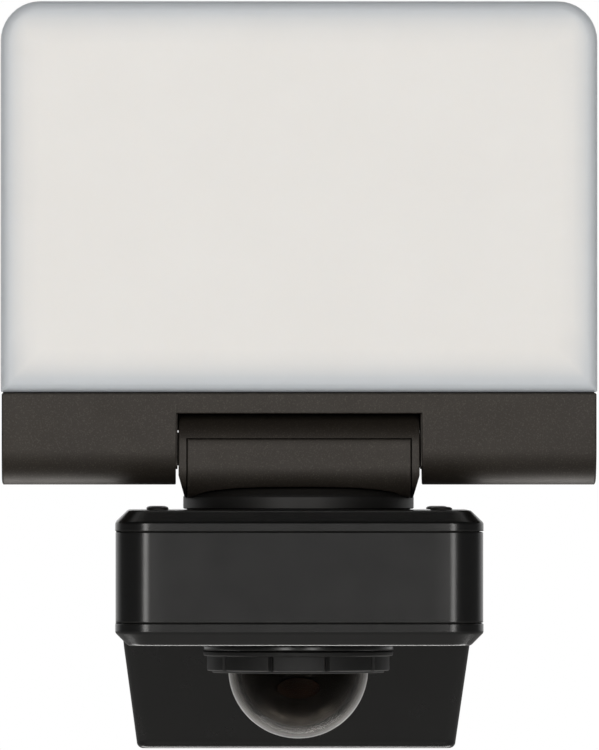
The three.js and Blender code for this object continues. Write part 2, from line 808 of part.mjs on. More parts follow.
// A short oval plug that looks out of the core, forwards and a little down
function ovalPlug(grow, from, to, dome) {
  const geometry = dome
    ? new THREE.SphereGeometry(1, 16, 8)
    : new THREE.CylinderGeometry(1, 1, 1, 20);
  if (dome) {
    geometry.scale(lensWide + grow, to - from, lensHigh + grow);
    geometry.translate(0, -from, 0);
  } else {
    geometry.scale(lensWide + grow, to - from, lensHigh + grow);
    geometry.translate(0, -(from + to) / 2, 0);
  }
  geometry.rotateX(lensPitch);
  geometry.translate(0, 0, domeZ);
  return solidOf(geometry);
}

function detectorHousing() {
  return bowl(coreRadius, coreWall, -5.2, 20, 5).subtract(ovalPlug(0.3, 10, 20, false));
}
const sensorLens = () => join(ovalPlug(0, 13.4, 16.4, false), ovalPlug(-0.3, 16, 17.4, true));

// Assembly

const floodlight = new THREE.Group();

const head = new THREE.Group();
head.position.set(0, hingeY, hingeZ);
place(head, 'head_frame', headFrame(), finishes.anthracite);
place(head, 'diffuser', diffuser(), finishes.opal);
place(head, 'diffuser_seal', panelRing(2.5, 3.7, -2.5, backPlateFront - gap), finishes.rubber);
place(head, 'led_board', ledBoard(), finishes.whiteBoard);
place(head, 'diffusing_sheet', diffusingSheet(), finishes.opal);
postPlaces.forEach((spot, i) => place(head, `diffuser_screw_${i + 1}`, backScrew(spot), finishes.steel));
[['left', -1], ['right', 1]].forEach(([word, side]) => {
  place(head, `hinge_shaft_${word}`, stubShaft(side), finishes.steel);
  place(head, `spring_washer_${word}`, pivotRing(side, 7, 27.6, 28.7, 20), finishes.steel);
  place(head, `shaft_nut_${word}`, pivotRing(side, 7.6, 25, 27.3, 6), finishes.steel);
});
const upperLead = [
  [47.6, 0, 0],
  [48.8, 0.6, 0.4],
  [49.8, 3.2, 2.6],
  [50, 6.4, 6.4],
  [50, 7.8, 12],
  [50, 7.9, 22],
  [50, 7, 27.4],
  [50, 3, 29],
  [50, -0.6, 29],
];
place(head, 'lead_upper', lead(1.2, upperLead, 12), finishes.lead);

const swivel = new THREE.Group();
swivel.position.set(0, hingeY, hingeZ);
place(swivel, 'hinge_knuckle', knuckle(), finishes.anthracite);
place(swivel, 'knuckle_cover', inlay(), finishes.anthracite);
place(swivel, 'hinge_bush_left', tube(6.5, 5.3, [-36.2, 0, 0], [-29.3, 0, 0], 24), finishes.blackPlastic);
place(swivel, 'hinge_bush_right', tube(6.5, 5.3, [29.3, 0, 0], [36.2, 0, 0], 24), finishes.blackPlastic);
place(swivel, 'swivel_spigot', spigot(), finishes.steel);
place(swivel, 'swivel_washer', swivelRing(20, stemRadius + 0.5, -22.8, -21.5, 24), finishes.steel);
place(swivel, 'swivel_nut', swivelRing(19, stemRadius + 0.5, -28, -23.1, 24), finishes.steel);
const sealRing = swivelRing(sealOuter, sealInner, turretBase - sealReach, turretBase + 1.6);
place(swivel, 'turntable_seal', sealRing, finishes.rubber);
const middleLead = [
  [0, swivelBack, -33],
  [0, swivelBack, -20.5],
  [0, swivelBack - 1.8, -16.4],
  [0, 6.5, -14],
  [0, 3, -11.6],
  [0, 1.5, -7.5],
  [4, 0.4, -2],
  [12, 0, 0],
  [24, 0, 0],
  [47, 0, 0],
];
place(swivel, 'lead_middle', lead(1.5, middleLead, 24), finishes.lead);

const housing = new THREE.Group();
place(housing, 'top_cover', topCover(), finishes.blackPlastic);
place(housing, 'housing_band', band(), finishes.blackPlastic);
place(housing, 'bottom_cover', bottomCover(), finishes.blackPlastic);
place(housing, 'upper_seal', ring(1.8, 2.7, upperSeam - 1.3, upperSeam + 1.3), finishes.rubber);
place(housing, 'lower_seal', ring(1.8, 2.7, lowerSeam - 1.3, lowerSeam + 1.3), finishes.rubber);
coverScrewPlaces.forEach((spot) => {
  place(housing, `cover_screw_${spot[0]}`, coverScrew(spot), finishes.steel);
});
place(housing, 'power_board', powerBoard(), finishes.board);
place(housing, 'transformer', transformer(), finishes.part);
place(housing, 'smoothing_capacitor', rod(6.5, [31, -118, 19.6], [31, -92, 19.6], 24), finishes.part);
place(housing, 'relay', box(15, 34, -84, -72, 12.9, 28), finishes.part);
const lowerLead = [[0, swivelY, 24.7], [0, swivelY, 20], [4, swivelY + 6, 16], [8, swivelY + 14, 14.8]];
place(housing, 'lead_lower', lead(1.5, lowerLead, 6), finishes.lead);

const wallMount = new THREE.Group();
place(wallMount, 'wall_plate', wallPlate(), finishes.boxPlastic);
place(wallMount, 'wall_box', wallBox(), finishes.boxPlastic);
place(wallMount, 'wall_gasket', wallGasket(), finishes.rubber);
place(wallMount, 'cable_grommet', grommet(), finishes.rubber);
place(wallMount, 'terminal_block', terminalBlock(), finishes.whiteBoard);
place(wallMount, 'box_screw_left', boxScrew(-1), finishes.steel);
place(wallMount, 'box_screw_right', boxScrew(1), finishes.steel);
place(wallMount, 'link_sleeve', linkSleeve(), finishes.steel);
place(wallMount, 'link_nut', tube(13, 9.9, [0, -66.8, linkZ], [0, -62, linkZ], 6), finishes.steel);

const sensor = new THREE.Group();
sensor.position.set(0, domeY, 0);
place(sensor, 'sensor_socket', sensorSocket(), finishes.blackPlastic);
place(sensor, 'grip_ring', gripRing(), finishes.blackPlastic);
place(sensor, 'dome_lens', bowl(domeRadius, domeWall, -5.3, 28, 7), finishes.smoked);
place(sensor, 'detector_housing', detectorHousing(), finishes.core);
place(sensor, 'sensor_lens', sensorLens(), finishes.lens);
place(sensor, 'sensor_board', rod(13.8, [0, 0, -4.6], [0, 0, -3], 32), finishes.board);
place(sensor, 'sensor_retainer', tube(20, 16.9, [0, 0, 5.4], [0, 0, 6.8]), finishes.blackPlastic);

floodlight.add(head, swivel, housing, wallMount, sensor);

export default floodlight;
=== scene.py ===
import math

import bpy
import numpy as np
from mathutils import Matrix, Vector


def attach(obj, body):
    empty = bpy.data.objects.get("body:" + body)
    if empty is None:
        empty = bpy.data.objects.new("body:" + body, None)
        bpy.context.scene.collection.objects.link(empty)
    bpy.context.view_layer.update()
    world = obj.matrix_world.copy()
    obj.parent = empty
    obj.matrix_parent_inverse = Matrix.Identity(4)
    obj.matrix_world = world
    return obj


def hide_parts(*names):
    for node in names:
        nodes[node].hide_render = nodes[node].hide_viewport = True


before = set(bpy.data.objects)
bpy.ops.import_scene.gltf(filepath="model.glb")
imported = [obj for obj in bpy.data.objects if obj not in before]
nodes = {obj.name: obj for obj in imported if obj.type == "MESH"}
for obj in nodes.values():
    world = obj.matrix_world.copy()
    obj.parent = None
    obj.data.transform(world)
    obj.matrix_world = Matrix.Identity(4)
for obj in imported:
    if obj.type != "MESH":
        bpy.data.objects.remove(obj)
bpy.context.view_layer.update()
print("frame loaded:", len(nodes), "nodes")

millimetre = 0.001
quarter = math.pi / 2
weldDecimals = 4  # points this close, in decimals of a millimetre, are one


# Grids and shells. Everything below is in millimetres until makePiece.

def unit(vectors):
    # each vector divided by its own length
    return vectors / np.maximum(np.linalg.norm(vectors, axis=-1, keepdims=True), 1e-12)


def smooth(t):
    # 0 below 0, 1 above 1, with a level start and end in between
    t = np.clip(t, 0.0, 1.0)
    return t * t * (3 - 2 * t)


def rounding(radius, steps=5):
    # a quarter circle from a face's edge to its side: how far in from the side, how far down from the face
    turn = np.linspace(0, quarter, steps + 1)
    return radius * (1 - np.sin(turn)), radius * (1 - np.cos(turn))


def roundRect(x0, x1, y0, y1, radii, arcSteps=8, sideSteps=4):
    # a rectangle's outline: quarter circles at the corners, evenly split straight sides between them
    radii = np.maximum(np.asarray(radii, float), 0.02)
    cornerX = np.array([x0, x1, x1, x0]) + np.array([1, -1, -1, 1]) * radii
    cornerY = np.array([y0, y0, y1, y1]) + np.array([1, 1, -1, -1]) * radii
    turn = math.pi + (np.arange(4)[:, None] + np.linspace(0, 1, arcSteps + 1)) * quarter
    arcX = cornerX[:, None] + radii[:, None] * np.cos(turn)
    arcY = cornerY[:, None] + radii[:, None] * np.sin(turn)
    arcs = np.stack([arcX, arcY], -1)
    start = arcs[:, -1:]
    reach = np.roll(arcs[:, :1], -1, axis=0) - start
    share = (np.arange(1, sideSteps) / sideSteps)[None, :, None]
    return np.concatenate([arcs, start + reach * share], 1).reshape(-1, 2)


def fillet(corners, radii, steps=5, brace=0.4, isClosed=True):
    # each corner becomes an arc that touches both of its sides, braced by a point a little way along each side
    at = np.asarray(corners, float)
    radius = np.maximum(np.broadcast_to(np.asarray(radii, float), len(at)), 1e-4)
    back = np.roll(at, 1, axis=0) - at
    ahead = np.roll(at, -1, axis=0) - at
    room = 0.45 * np.minimum(np.linalg.norm(back, axis=1), np.linalg.norm(ahead, axis=1))
    a = unit(back)
    b = unit(ahead)
    half = np.arccos(np.clip((a * b).sum(1), -1, 1)) / 2
    half = np.minimum(half, quarter - 0.002)
    radius = np.minimum(radius, room * np.tan(half))
    reach = (radius / np.tan(half))[:, None]
    middle = at + unit(a + b) * (radius / np.sin(half))[:, None]
    turn = (math.pi - 2 * half)[:, None, None]
    share = np.linspace(0, 1, steps + 1)[None, :, None]
    first = (at + a * reach - middle)[:, None]
    final = (at + b * reach - middle)[:, None]
    arc = middle[:, None] + (np.sin((1 - share) * turn) * first + np.sin(share * turn) * final) / np.sin(turn)
    side = np.minimum(reach + brace, np.maximum(room[:, None] * 1.05, reach))
    path = np.concatenate([(at + a * side)[:, None], arc, (at + b * side)[:, None]], 1)
    if not isClosed:
        path[0] = at[0]
        path[-1] = at[-1]
    return path.reshape(-1, 2)


def gridQuads(rows, cols, wrapRows, wrapCols):
    # a face joins each point with its neighbours in the next column and the next row
    r, c = np.meshgrid(
        np.arange(rows if wrapRows else rows - 1), np.arange(cols if wrapCols else cols - 1), indexing="ij"
    )
    nextRow = (r + 1) % rows
    nextCol = (c + 1) % cols
    corners = [r * cols + c, r * cols + nextCol, nextRow * cols + nextCol, nextRow * cols + c]
    return np.stack(corners, -1).reshape(-1, 4)


def capQuads(row, cols, kind, centre, isFirst):
    # fan: every edge of the row to one centre point; strip: the row's first half to its second half
    near = np.arange(cols)
    if kind == "fan":
        far = np.full(cols, centre)
        quads = np.stack([row + near, row + (near + 1) % cols, far, far], -1)
    else:
        near = near[: cols // 2 - 1]
        quads = row + np.stack([near, near + 1, cols - 2 - near, cols - 1 - near], -1)
    return quads[:, ::-1] if isFirst else quads


def shell(grid, wrapRows=False, wrapCols=True, first=None, last=None):
    # one closed surface: the grid's faces and its caps, welded, and turned to face outward
    grid = np.asarray(grid, float)
    rows, cols = grid.shape[:2]
    points = grid.reshape(-1, 3)
    quads = [gridQuads(rows, cols, wrapRows, wrapCols)]
    for kind, row in ((first, 0), (last, rows - 1)):
        if kind:
            quads.append(capQuads(row * cols, cols, kind, len(points), row == 0))
            if kind == "fan":
                points = np.vstack([points, grid[row].mean(0)])
    quads = np.vstack(quads)
    points, index = np.unique(np.round(points, weldDecimals), axis=0, return_inverse=True)
    quads = index.reshape(-1)[quads]
    same = quads == np.roll(quads, -1, axis=1)
    folded = (quads[:, 0] == quads[:, 2]) | (quads[:, 1] == quads[:, 3])
    lost = same.sum(1)
    whole = quads[(lost == 0) & ~folded]
    three = (lost == 1) & ~folded
    tris = quads[three][~same[three]].reshape(-1, 3)
    faces = np.vstack([whole, tris[:, [0, 1, 2, 2]]])
    a, b, c, d = (points[faces[:, k]] for k in range(4))
    volume = (a * np.cross(b, c)).sum() + (a * np.cross(c, d)).sum()
    if volume < 0:
        faces = np.vstack([whole[:, ::-1], tris[:, [2, 1, 0, 0]]])
    return points, faces


def turned(profile, centre, sides=96, isRing=False, swell=None):
    # a profile of radius and height turned about an upright axis; swell changes the radius by angle and row
    profile = np.asarray(profile, float)
    angle = np.arange(sides) * 2 * math.pi / sides
    radius = profile[:, :1] + (swell(angle, profile) if swell is not None else 0 * angle[None])
    height = np.broadcast_to(profile[:, 1:], radius.shape)
    grid = np.stack([centre[0] + radius * np.cos(angle), centre[1] + radius * np.sin(angle), height], -1)
    return shell(grid, wrapRows=isRing)


def carried(loops, along, axis):
    # loops of two coordinates set up one behind the other along the third axis
    loops = np.asarray(loops, float)
    along = np.asarray(along, float)
    along = np.broadcast_to(along[:, None] if along.ndim == 1 else along, loops.shape[:2])
    order = {"x": (along, loops[..., 0], loops[..., 1]), "y": (loops[..., 0], along, loops[..., 1]),
             "z": (loops[..., 0], loops[..., 1], along)}
    return np.stack(order[axis], -1)


def circleLike(loop, centre, radius):
    # a circle whose points lie in the same directions from its centre as the loop's points
    centre = np.asarray(centre, float)
    return centre + unit(loop - centre) * radius


def moved(shells, offset):
    # every point moved by the offset
    return [(points + np.asarray(offset, float), faces) for points, faces in shells]


def edgeWearAndHighlight(points, faces, mild=0.5, full=2.5):
    # how sharply the surface bends outward at each point, as the angle between two faces over their distance; it
    # marks edges for wear and for a painted edge highlight
    corners = points[faces]
    normals = unit(np.cross(corners[:, 2] - corners[:, 0], corners[:, 3] - corners[:, 1]))
    centres = corners.mean(1)
    ends = np.stack([faces, np.roll(faces, -1, axis=1)], -1).reshape(-1, 2)
    owner = np.repeat(np.arange(len(faces)), 4)
    real = ends[:, 0] != ends[:, 1]
    ends = np.sort(ends[real], axis=1)
    owner = owner[real]
    key = ends[:, 0] * len(points) + ends[:, 1]
    order = np.argsort(key, kind="stable")
    pair = np.flatnonzero(key[order][1:] == key[order][:-1])
    one = owner[order[pair]]
    two = owner[order[pair + 1]]
    gap = centres[two] - centres[one]
    bend = np.arccos(np.clip((normals[one] * normals[two]).sum(1), -1, 1))
    bend = np.where((gap * normals[one]).sum(1) < 0, bend, 0) / np.maximum(np.linalg.norm(gap, axis=1), 0.05)
    wearAndHighlight = np.zeros(len(points))
    np.maximum.at(wearAndHighlight, ends[order[pair], 0], bend)
    np.maximum.at(wearAndHighlight, ends[order[pair], 1], bend)
    return smooth((wearAndHighlight - mild) / (full - mild))


def makePiece(name, shells, body, stands, material, bend=32.0, fields=None):
    # joins the shells into one mesh in metres, with soft shading up to the bend angle
    starts = np.cumsum([0] + [len(points) for points, _ in shells])
    points = np.vstack([points for points, _ in shells])
    faces = np.vstack([faces + start for (_, faces), start in zip(shells, starts)])
    isTriangle = faces[:, 2] == faces[:, 3]
    lists = faces[~isTriangle].tolist() + faces[isTriangle][:, :3].tolist()
    mesh = bpy.data.meshes.new(name)
    mesh.from_pydata((points * millimetre).tolist(), [], lists)
    mesh.polygons.foreach_set("use_smooth", np.ones(len(lists), bool))
    mesh.set_sharp_from_angle(angle=math.radians(bend))
    # the edge field paints wear and a highlight line on outward edges
    values = {"wearAndHighlight": edgeWearAndHighlight(points, faces), **(fields(points) if fields else {})}
    for key, value in values.items():
        mesh.attributes.new(key, "FLOAT", "POINT").data.foreach_set("value", value.astype(np.float32))
    mesh.materials.append(material)
    mesh.update()
    piece = bpy.data.objects.new(name, mesh)
    bpy.context.scene.collection.objects.link(piece)
    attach(piece, body)
    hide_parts(*stands)
    print(f"{name}: {len(points)} points, {len(lists)} faces")
    return piece


# Finishes. Sizes are in millimetres; colours are as a screen shows them, 0 to 255.

def linear(colour):
    # screen colour to light: the usual sRGB curve
    share = np.asarray(colour, float) / 255
    light = np.where(share <= 0.04045, share / 12.92, ((share + 0.055) / 1.055) ** 2.4)
    return (*light.tolist(), 1.0)


class Tree:
    # a material's nodes, with short ways to add and join them
    def __init__(self, name):
        self.material = bpy.data.materials.new(name)
        self.material.use_nodes = True
        self.tree = self.material.node_tree
        self.shader = self.tree.nodes["Principled BSDF"]
        self.place = self.add("TexCoord").outputs["Object"]

    def add(self, kind, **inputs):
        # a new node of the kind, with its inputs set or joined
        node = self.tree.nodes.new("ShaderNode" + kind)
        self.feed(node, inputs)
        return node

    def feed(self, node, inputs):
        # each input takes a link if the value is another node's output, else the value itself
        for key, value in inputs.items():
            socket = node.inputs[key]
            if isinstance(value, bpy.types.NodeSocket):
                self.tree.links.new(value, socket)
            else:
                socket.default_value = value

    def noise(self, size, detail=2.0, stretch=None):
        # soft random pattern whose blotches measure about the given size
        place = self.place
        if stretch:
            mapping = self.add("Mapping", Vector=place)
            mapping.inputs["Scale"].default_value = stretch
            place = mapping.outputs["Vector"]
        node = self.add("TexNoise", Vector=place, Scale=1000.0 / size, Detail=detail)
        return node.outputs["Fac"]

    def ramp(self, value, low, high, start, end):
        # value from low..high carried to start..end, held at both ends
        node = self.tree.nodes.new("ShaderNodeMapRange")
        self.feed(node, {"Value": value, "From Min": low, "From Max": high, "To Min": start, "To Max": end})
        return node.outputs["Result"]

    def blend(self, share, one, two, kind="MIX"):
        # colour one where the share is 0, colour two where it is 1
        node = self.tree.nodes.new("ShaderNodeMix")
        node.data_type = "RGBA"
        node.blend_type = kind
        self.feed(node, {0: share, 6: one, 7: two})
        return node.outputs[2]

    def product(self, one, two):
        # one times two
        node = self.tree.nodes.new("ShaderNodeMath")
        node.operation = "MULTIPLY"
        self.feed(node, {0: one, 1: two})
        return node.outputs[0]

    def field(self, name):
        # a number stored on the piece's points; 0 where a piece has none
        node = self.tree.nodes.new("ShaderNodeAttribute")
        node.attribute_name = name
        return node.outputs["Fac"]

    def bump(self, height, depth, strength=1.0, under=None):
        # tilts the shading as if the surface rose by height times depth
        node = self.add("Bump", Height=height, Distance=depth * millimetre, Strength=strength)
        if under is not None:
            self.feed(node, {"Normal": under})
        return node.outputs["Normal"]


def finish(name, look):
    # clouded base colour, fine specks, lighter edges that are partly wear and partly a painted highlight line, a
    # darker shade where a piece asks for it, uneven gloss and two sizes of bump
    tree = Tree(name)
    cloud = tree.ramp(tree.noise(look["cloudSize"], 3.0), 0.35, 0.65, 0.0, 1.0)
    colour = tree.blend(cloud, linear(look["colour"]), linear(look["cloud"]))
    speck = tree.ramp(tree.noise(look["speckSize"], 1.0), *look["speckCut"], 0.0, look["speckShare"])
    colour = tree.blend(speck, colour, linear(look["speck"]))
    # lighter edges: partly wear, partly a painted highlight line along outward edges
    wearAndHighlight = tree.product(tree.field("wearAndHighlight"), tree.ramp(tree.noise(1.6, 3.0), 0.35, 0.7, 0.2, 1.0))
    colour = tree.blend(tree.product(wearAndHighlight, look["wearHighlightShare"]), colour, linear(look["wearAndHighlight"]))
    colour = tree.blend(tree.field("shade"), colour, linear(look["shade"]))
    rough = tree.ramp(tree.noise(look["glossSize"], 4.0), 0.3, 0.7, *look["rough"])
    swell = tree.bump(tree.noise(look["swellSize"], 2.0), look["swellDepth"])
    grain = tree.bump(tree.noise(look["grainSize"], 2.0), look["grainDepth"], under=swell)
    tree.feed(tree.shader, {"Base Color": colour, "Roughness": rough, "Normal": grain, "Metallic": look["metal"]})
    tree.shader.inputs["Specular IOR Level"].default_value = look.get("gloss", 0.5)
    return tree.material


plainLook = {
    "colour": (40, 40, 39), "cloud": (42, 42, 41), "cloudSize": 30.0,
    "speck": (90, 88, 84), "speckSize": 0.35, "speckCut": (0.62, 0.75), "speckShare": 0.2,
    # edge colour, used for wear and for a painted edge highlight
    "wearAndHighlight": (110, 108, 104), "wearHighlightShare": 0.12,
    "rough": (0.36, 0.40), "glossSize": 9.0, "metal": 0.0,
    "swellSize": 9.0, "swellDepth": 0.02, "grainSize": 0.3, "grainDepth": 0.01, "shade": (30, 30, 30),
}
looks = {
    "anthracite": {
        "colour": (45, 40, 34), "cloud": (43, 38, 33), "speck": (96, 90, 82), "speckShare": 0.27,
        "shade": (22, 21, 20),
        "speckSize": 0.38, "speckCut": (0.54, 0.74), "wearAndHighlight": (120, 116, 110), "wearHighlightShare": 0.2,
        "rough": (0.5, 0.55), "metal": 0.4, "grainSize": 0.45, "grainDepth": 0.015,
    },
    "blackPlastic": {"colour": (10, 10, 10), "cloud": (11, 11, 11), "rough": (0.235, 0.255), "speckShare": 0.05},
    "gripPlastic": {"colour": (12, 12, 12), "cloud": (14, 14, 14), "rough": (0.62, 0.68), "speckShare": 0.05},
    "boxPlastic": {"colour": (12, 12, 12), "cloud": (14, 14, 14), "rough": (0.24, 0.28), "speckShare": 0.06},
    "corePlastic": {"colour": (42, 39, 36), "cloud": (46, 43, 39), "rough": (0.3, 0.4)},
    "rubber": {"colour": (20, 20, 20), "cloud": (28, 28, 27), "rough": (0.7, 0.85), "grainDepth": 0.03},
    "steel": {
        "colour": (168, 168, 166), "cloud": (150, 150, 149), "metal": 0.95, "rough": (0.24, 0.38),
        "speck": (205, 205, 204),
    },
    "darkScrew": {"colour": (38, 37, 36), "cloud": (46, 45, 43), "metal": 0.6, "rough": (0.3, 0.42)},
    "board": {"colour": (28, 84, 50), "cloud": (24, 76, 46), "rough": (0.4, 0.5)},
    "whiteBoard": {"colour": (232, 232, 227), "cloud": (224, 224, 219), "rough": (0.4, 0.5), "speckShare": 0.05},
    "component": {"colour": (40, 40, 46), "cloud": (46, 46, 52), "rough": (0.45, 0.6)},
    "terminal": {"colour": (222, 220, 210), "cloud": (212, 210, 200), "rough": (0.35, 0.45)},
    "lead": {"colour": (46, 46, 46), "cloud": (54, 54, 54), "rough": (0.55, 0.65)},
}
finishes = {name: finish(name, {**plainLook, **look}) for name, look in looks.items()}


opalLook = {
    "lit": (244, 242, 239), "rim": (200, 205, 210), "rough": (0.42, 0.52), "paintedGlow": (0.13, 0.095),
    "mottle": (236, 233, 229), "mottleSize": 26.0, "mottleShare": 0.08, "glossSize": 7.0,
    "grainSize": 0.5, "grainDepth": 0.012, "milk": 0.15, "milkReach": (1.0, 0.9, 0.8), "milkDepth": 0.002,
}


def opalFinish():
    # milky plastic: grey where only the edge's own wall is behind it, warm white over the lit sheet; this is
    # painted light standing in for light through the sheet behind, and the emission adds a painted glow
    tree = Tree("opal")
    glow = tree.field("glow")
    # painted light: warm white where the lit sheet shows through, grey towards the rim
    base = tree.blend(glow, linear(opalLook["rim"]), linear(opalLook["lit"]))
    mottle = tree.ramp(tree.noise(opalLook["mottleSize"], 3.0), 0.35, 0.75, 0.0, opalLook["mottleShare"])
    base = tree.blend(mottle, base, linear(opalLook["mottle"]), "MULTIPLY")
    rough = tree.ramp(tree.noise(opalLook["glossSize"], 3.0), 0.3, 0.7, *opalLook["rough"])
    grain = tree.bump(tree.noise(opalLook["grainSize"], 2.0), opalLook["grainDepth"])
    # painted glow: the emission brightens the panel, which is not switched on
    tree.feed(tree.shader, {"Base Color": base, "Roughness": rough, "Normal": grain, "Emission Color": base,
                            "Emission Strength": tree.ramp(glow, 0.0, 1.0, *opalLook["paintedGlow"])})
    tree.shader.inputs["Subsurface Weight"].default_value = opalLook["milk"]
    tree.shader.inputs["Subsurface Radius"].default_value = opalLook["milkReach"]
    tree.shader.inputs["Subsurface Scale"].default_value = opalLook["milkDepth"]
    return tree.material


smokeLook = {
    "tint": (158, 153, 147), "haze": (140, 135, 129), "rough": (0.12, 0.18), "index": 1.06,
    "sheen": 1.0, "sheenRough": 0.3,
}


def smokedFinish():
    # clear plastic darkened with smoke, with slightly uneven gloss and a pale haze near its outline
    tree = Tree("smoked")
    haze = tree.ramp(tree.noise(5.0, 3.0), 0.35, 0.65, 0.0, 1.0)
    tint = tree.blend(haze, linear(smokeLook["tint"]), linear(smokeLook["haze"]))
    rough = tree.ramp(tree.noise(3.0, 3.0), 0.3, 0.7, *smokeLook["rough"])
    tree.feed(tree.shader, {"Base Color": tint, "Roughness": rough})
    tree.shader.inputs["Transmission Weight"].default_value = 1.0
    tree.shader.inputs["IOR"].default_value = smokeLook["index"]
    tree.shader.inputs["Sheen Weight"].default_value = smokeLook["sheen"]
    tree.shader.inputs["Sheen Roughness"].default_value = smokeLook["sheenRough"]
    return tree.material


lensLook = {"colour": (74, 48, 34), "streak": (52, 35, 26), "rough": (0.12, 0.22), "size": 2.2}


def lensFinish():
    # brown window for heat rays, faintly streaked
    tree = Tree("sensorWindow")
    streak = tree.noise(lensLook["size"], 3.0, stretch=(0.25, 1.0, 1.0))
    share = tree.ramp(streak, 0.35, 0.65, 0.0, 1.0)
    base = tree.blend(share, linear(lensLook["colour"]), linear(lensLook["streak"]))
    rough = tree.ramp(tree.noise(1.5, 3.0), 0.3, 0.7, *lensLook["rough"])
    tree.feed(tree.shader, {"Base Color": base, "Roughness": rough})
    return tree.material


finishes["opal"] = opalFinish()
finishes["smoked"] = smokedFinish()
finishes["window"] = lensFinish()
print("finishes made:", len(finishes))


# Light panel. The panel, the bar and the knuckle are measured from the tilt axis.

tiltAxis = (0.0, -124.0, 58.0)
panel = {
    "half": 90.0, "low": 17.2, "top": 135.1, "corner": 12.0, "front": -10.75, "back": 1.65, "wall": 2.2,
    "roundIn": 3.2, "roundDown": 3.4,
    "sideFade": ((0, 1, 2.6, 4.4, 7.5, 13), (0.0, 0.05, 0.15, 0.5, 0.82, 1.0)),
    "topFade": ((0, 1, 3.6, 5.6, 9, 15), (0.0, 0.02, 0.1, 0.45, 0.78, 1.0)),
    "lowFade": ((0, 2, 4.2, 6, 9, 14), (0.0, 0.0, 0.15, 0.45, 0.78, 1.0)),
}


def panelLoop(inset, low=None):
    # the panel's outline, set in on every side
    corner = panel["corner"] - inset
    half = panel["half"] - inset
    bottom = (panel["low"] if low is None else low) + inset
    return roundRect(-half, half, bottom, panel["top"] - inset, [0.5, 0.5, corner, corner], 10, 8)


def glowField(points):
    # painted brightness of the lit sheet behind the face, from the distance to each side, by its own curve; the
    # least of them counts
    x = np.abs(points[:, 0])
    z = points[:, 2] - tiltAxis[2]
    corner = panel["corner"]
    fromSide = panel["half"] - x
    fromTop = panel["top"] - z
    overX = np.maximum(corner - fromSide, 0)
    overZ = np.maximum(corner - fromTop, 0)
    inCorner = corner - np.hypot(overX, overZ)
    curves = [
        np.interp(fromSide, *panel["sideFade"]), np.interp(inCorner, *panel["sideFade"]),
        np.interp(fromTop, *panel["topFade"]), np.interp(z - panel["low"], *panel["lowFade"]),
    ]
    front = smooth((points[:, 1] - tiltAxis[1] - panel["front"]) / -3 + 1)
    return {"glow": np.minimum.reduce(curves) * front}


def diffuserCap():
    # rows run from the middle of the face, over the rounded edge, back inside to the middle
    flat = np.array([50, 36, 26, 20, 16, 13, 11.5, 10, 8.5, 7.5, 6.5, 5.5, 4.8, 4.2, 3.7])
    turn = np.linspace(0, quarter, 9)
    edge = panel["roundIn"] * (1 - np.sin(turn))
    drop = panel["front"] + panel["roundDown"] * (1 - np.cos(turn))
    lipIn, lipDown = rounding(0.4, 3)
    inside = np.array([panel["wall"] - 0.3, panel["wall"], panel["wall"], panel["wall"] + 0.5, 20, 45])
    insideY = np.array([panel["back"], panel["back"] - 0.3, panel["front"] + 2.6, panel["front"] + 2.2,
                        panel["front"] + 2.2, panel["front"] + 2.2])
    inset = np.concatenate([flat, edge, lipIn[::-1], inside])
    depth = np.concatenate([np.full(len(flat), panel["front"]), drop, panel["back"] - lipDown[::-1], insideY])
    loops = np.stack([panelLoop(value) for value in inset])
    return shell(carried(loops, depth, "y"), first="fan", last="fan")


makePiece("diffuserCap", moved([diffuserCap()], tiltAxis), "head", ["diffuser"], finishes["opal"],
          fields=glowField)

bar = {
    "half": 89.7, "radius": 10.75, "top": 16.9, "cutHalf": 37.15, "cutTop": 10.7, "edge": 0.6, "cutEdge": 0.35,
    "droop": 1.8, "bore": 6.2, "boreEnd": 56.0, "lipLow": 5.6, "bossHalf": 8.8, "bossLow": -5.8, "bossHeight": 0.5,
    "plateFront": 2.0, "plateBack": 5.0, "plateEdge": 0.9,
    "finCount": 13, "finPitch": 11.0, "finThick": 1.8, "finLow": 24.9, "finHigh": 127.1,
    "ductX": 50.0, "ductHalf": 4.5, "ductHigh": 34.0,
}


def barLoop(inset):
    # half circle below, straight sides, flat top with softened corners
    radius = bar["radius"] - inset
    turn = np.linspace(math.pi, 2 * math.pi, 41)
    lower = np.stack([radius * np.cos(turn), radius * np.sin(turn)], -1)
    top = bar["top"] - inset
    corner = max(bar["edge"] - inset, 0.05)
    turnUp = np.linspace(0, quarter, 6)
    right = np.stack([radius - corner + corner * np.cos(turnUp), top - corner + corner * np.sin(turnUp)], -1)
    brace = np.array([[radius, bar["cutTop"]], [radius, top - corner - 0.4]])
    across = np.array([[radius - corner - 0.4, top], [0, top], [-radius + corner + 0.4, top]])
    mirror = np.array([-1, 1])
    return np.concatenate([lower, brace, right, across, right[::-1] * mirror, brace[::-1] * mirror])


def barArm(side):
    # rows run from the outer end, along the arm, over the cut's edge and into the bearing bore
    endIn, endDown = rounding(bar["edge"])
    whole = barLoop(0)
    droop = 1 + bar["droop"] * smooth(-whole[:, 1:] / bar["radius"])
    outer = [whole + (barLoop(inset) - whole) * droop for inset in (bar["edge"] + 0.5, *endIn)]
    outerX = bar["half"] - np.array([0, *endDown])
    cutIn, cutDown = rounding(bar["cutEdge"])
    isLow = (whole[:, 1] < bar["cutTop"] - 0.01)[:, None]
    inner = [np.where(isLow, barLoop(inset), whole) for inset in cutIn[::-1]]
    innerX = bar["cutHalf"] + cutDown[::-1]
    middle = [whole, whole]
    middleX = [outerX[-1] - 0.5, innerX[0] + 0.5]
    hole = circleLike(whole, (0, 0), bar["bore"])
    loops = np.stack([*outer, *middle, *inner, hole, hole])
    along = np.array([*outerX, *middleX, *innerX, bar["cutHalf"], bar["boreEnd"]])
    return shell(carried(loops, side * along, "x"), first="fan", last="fan")


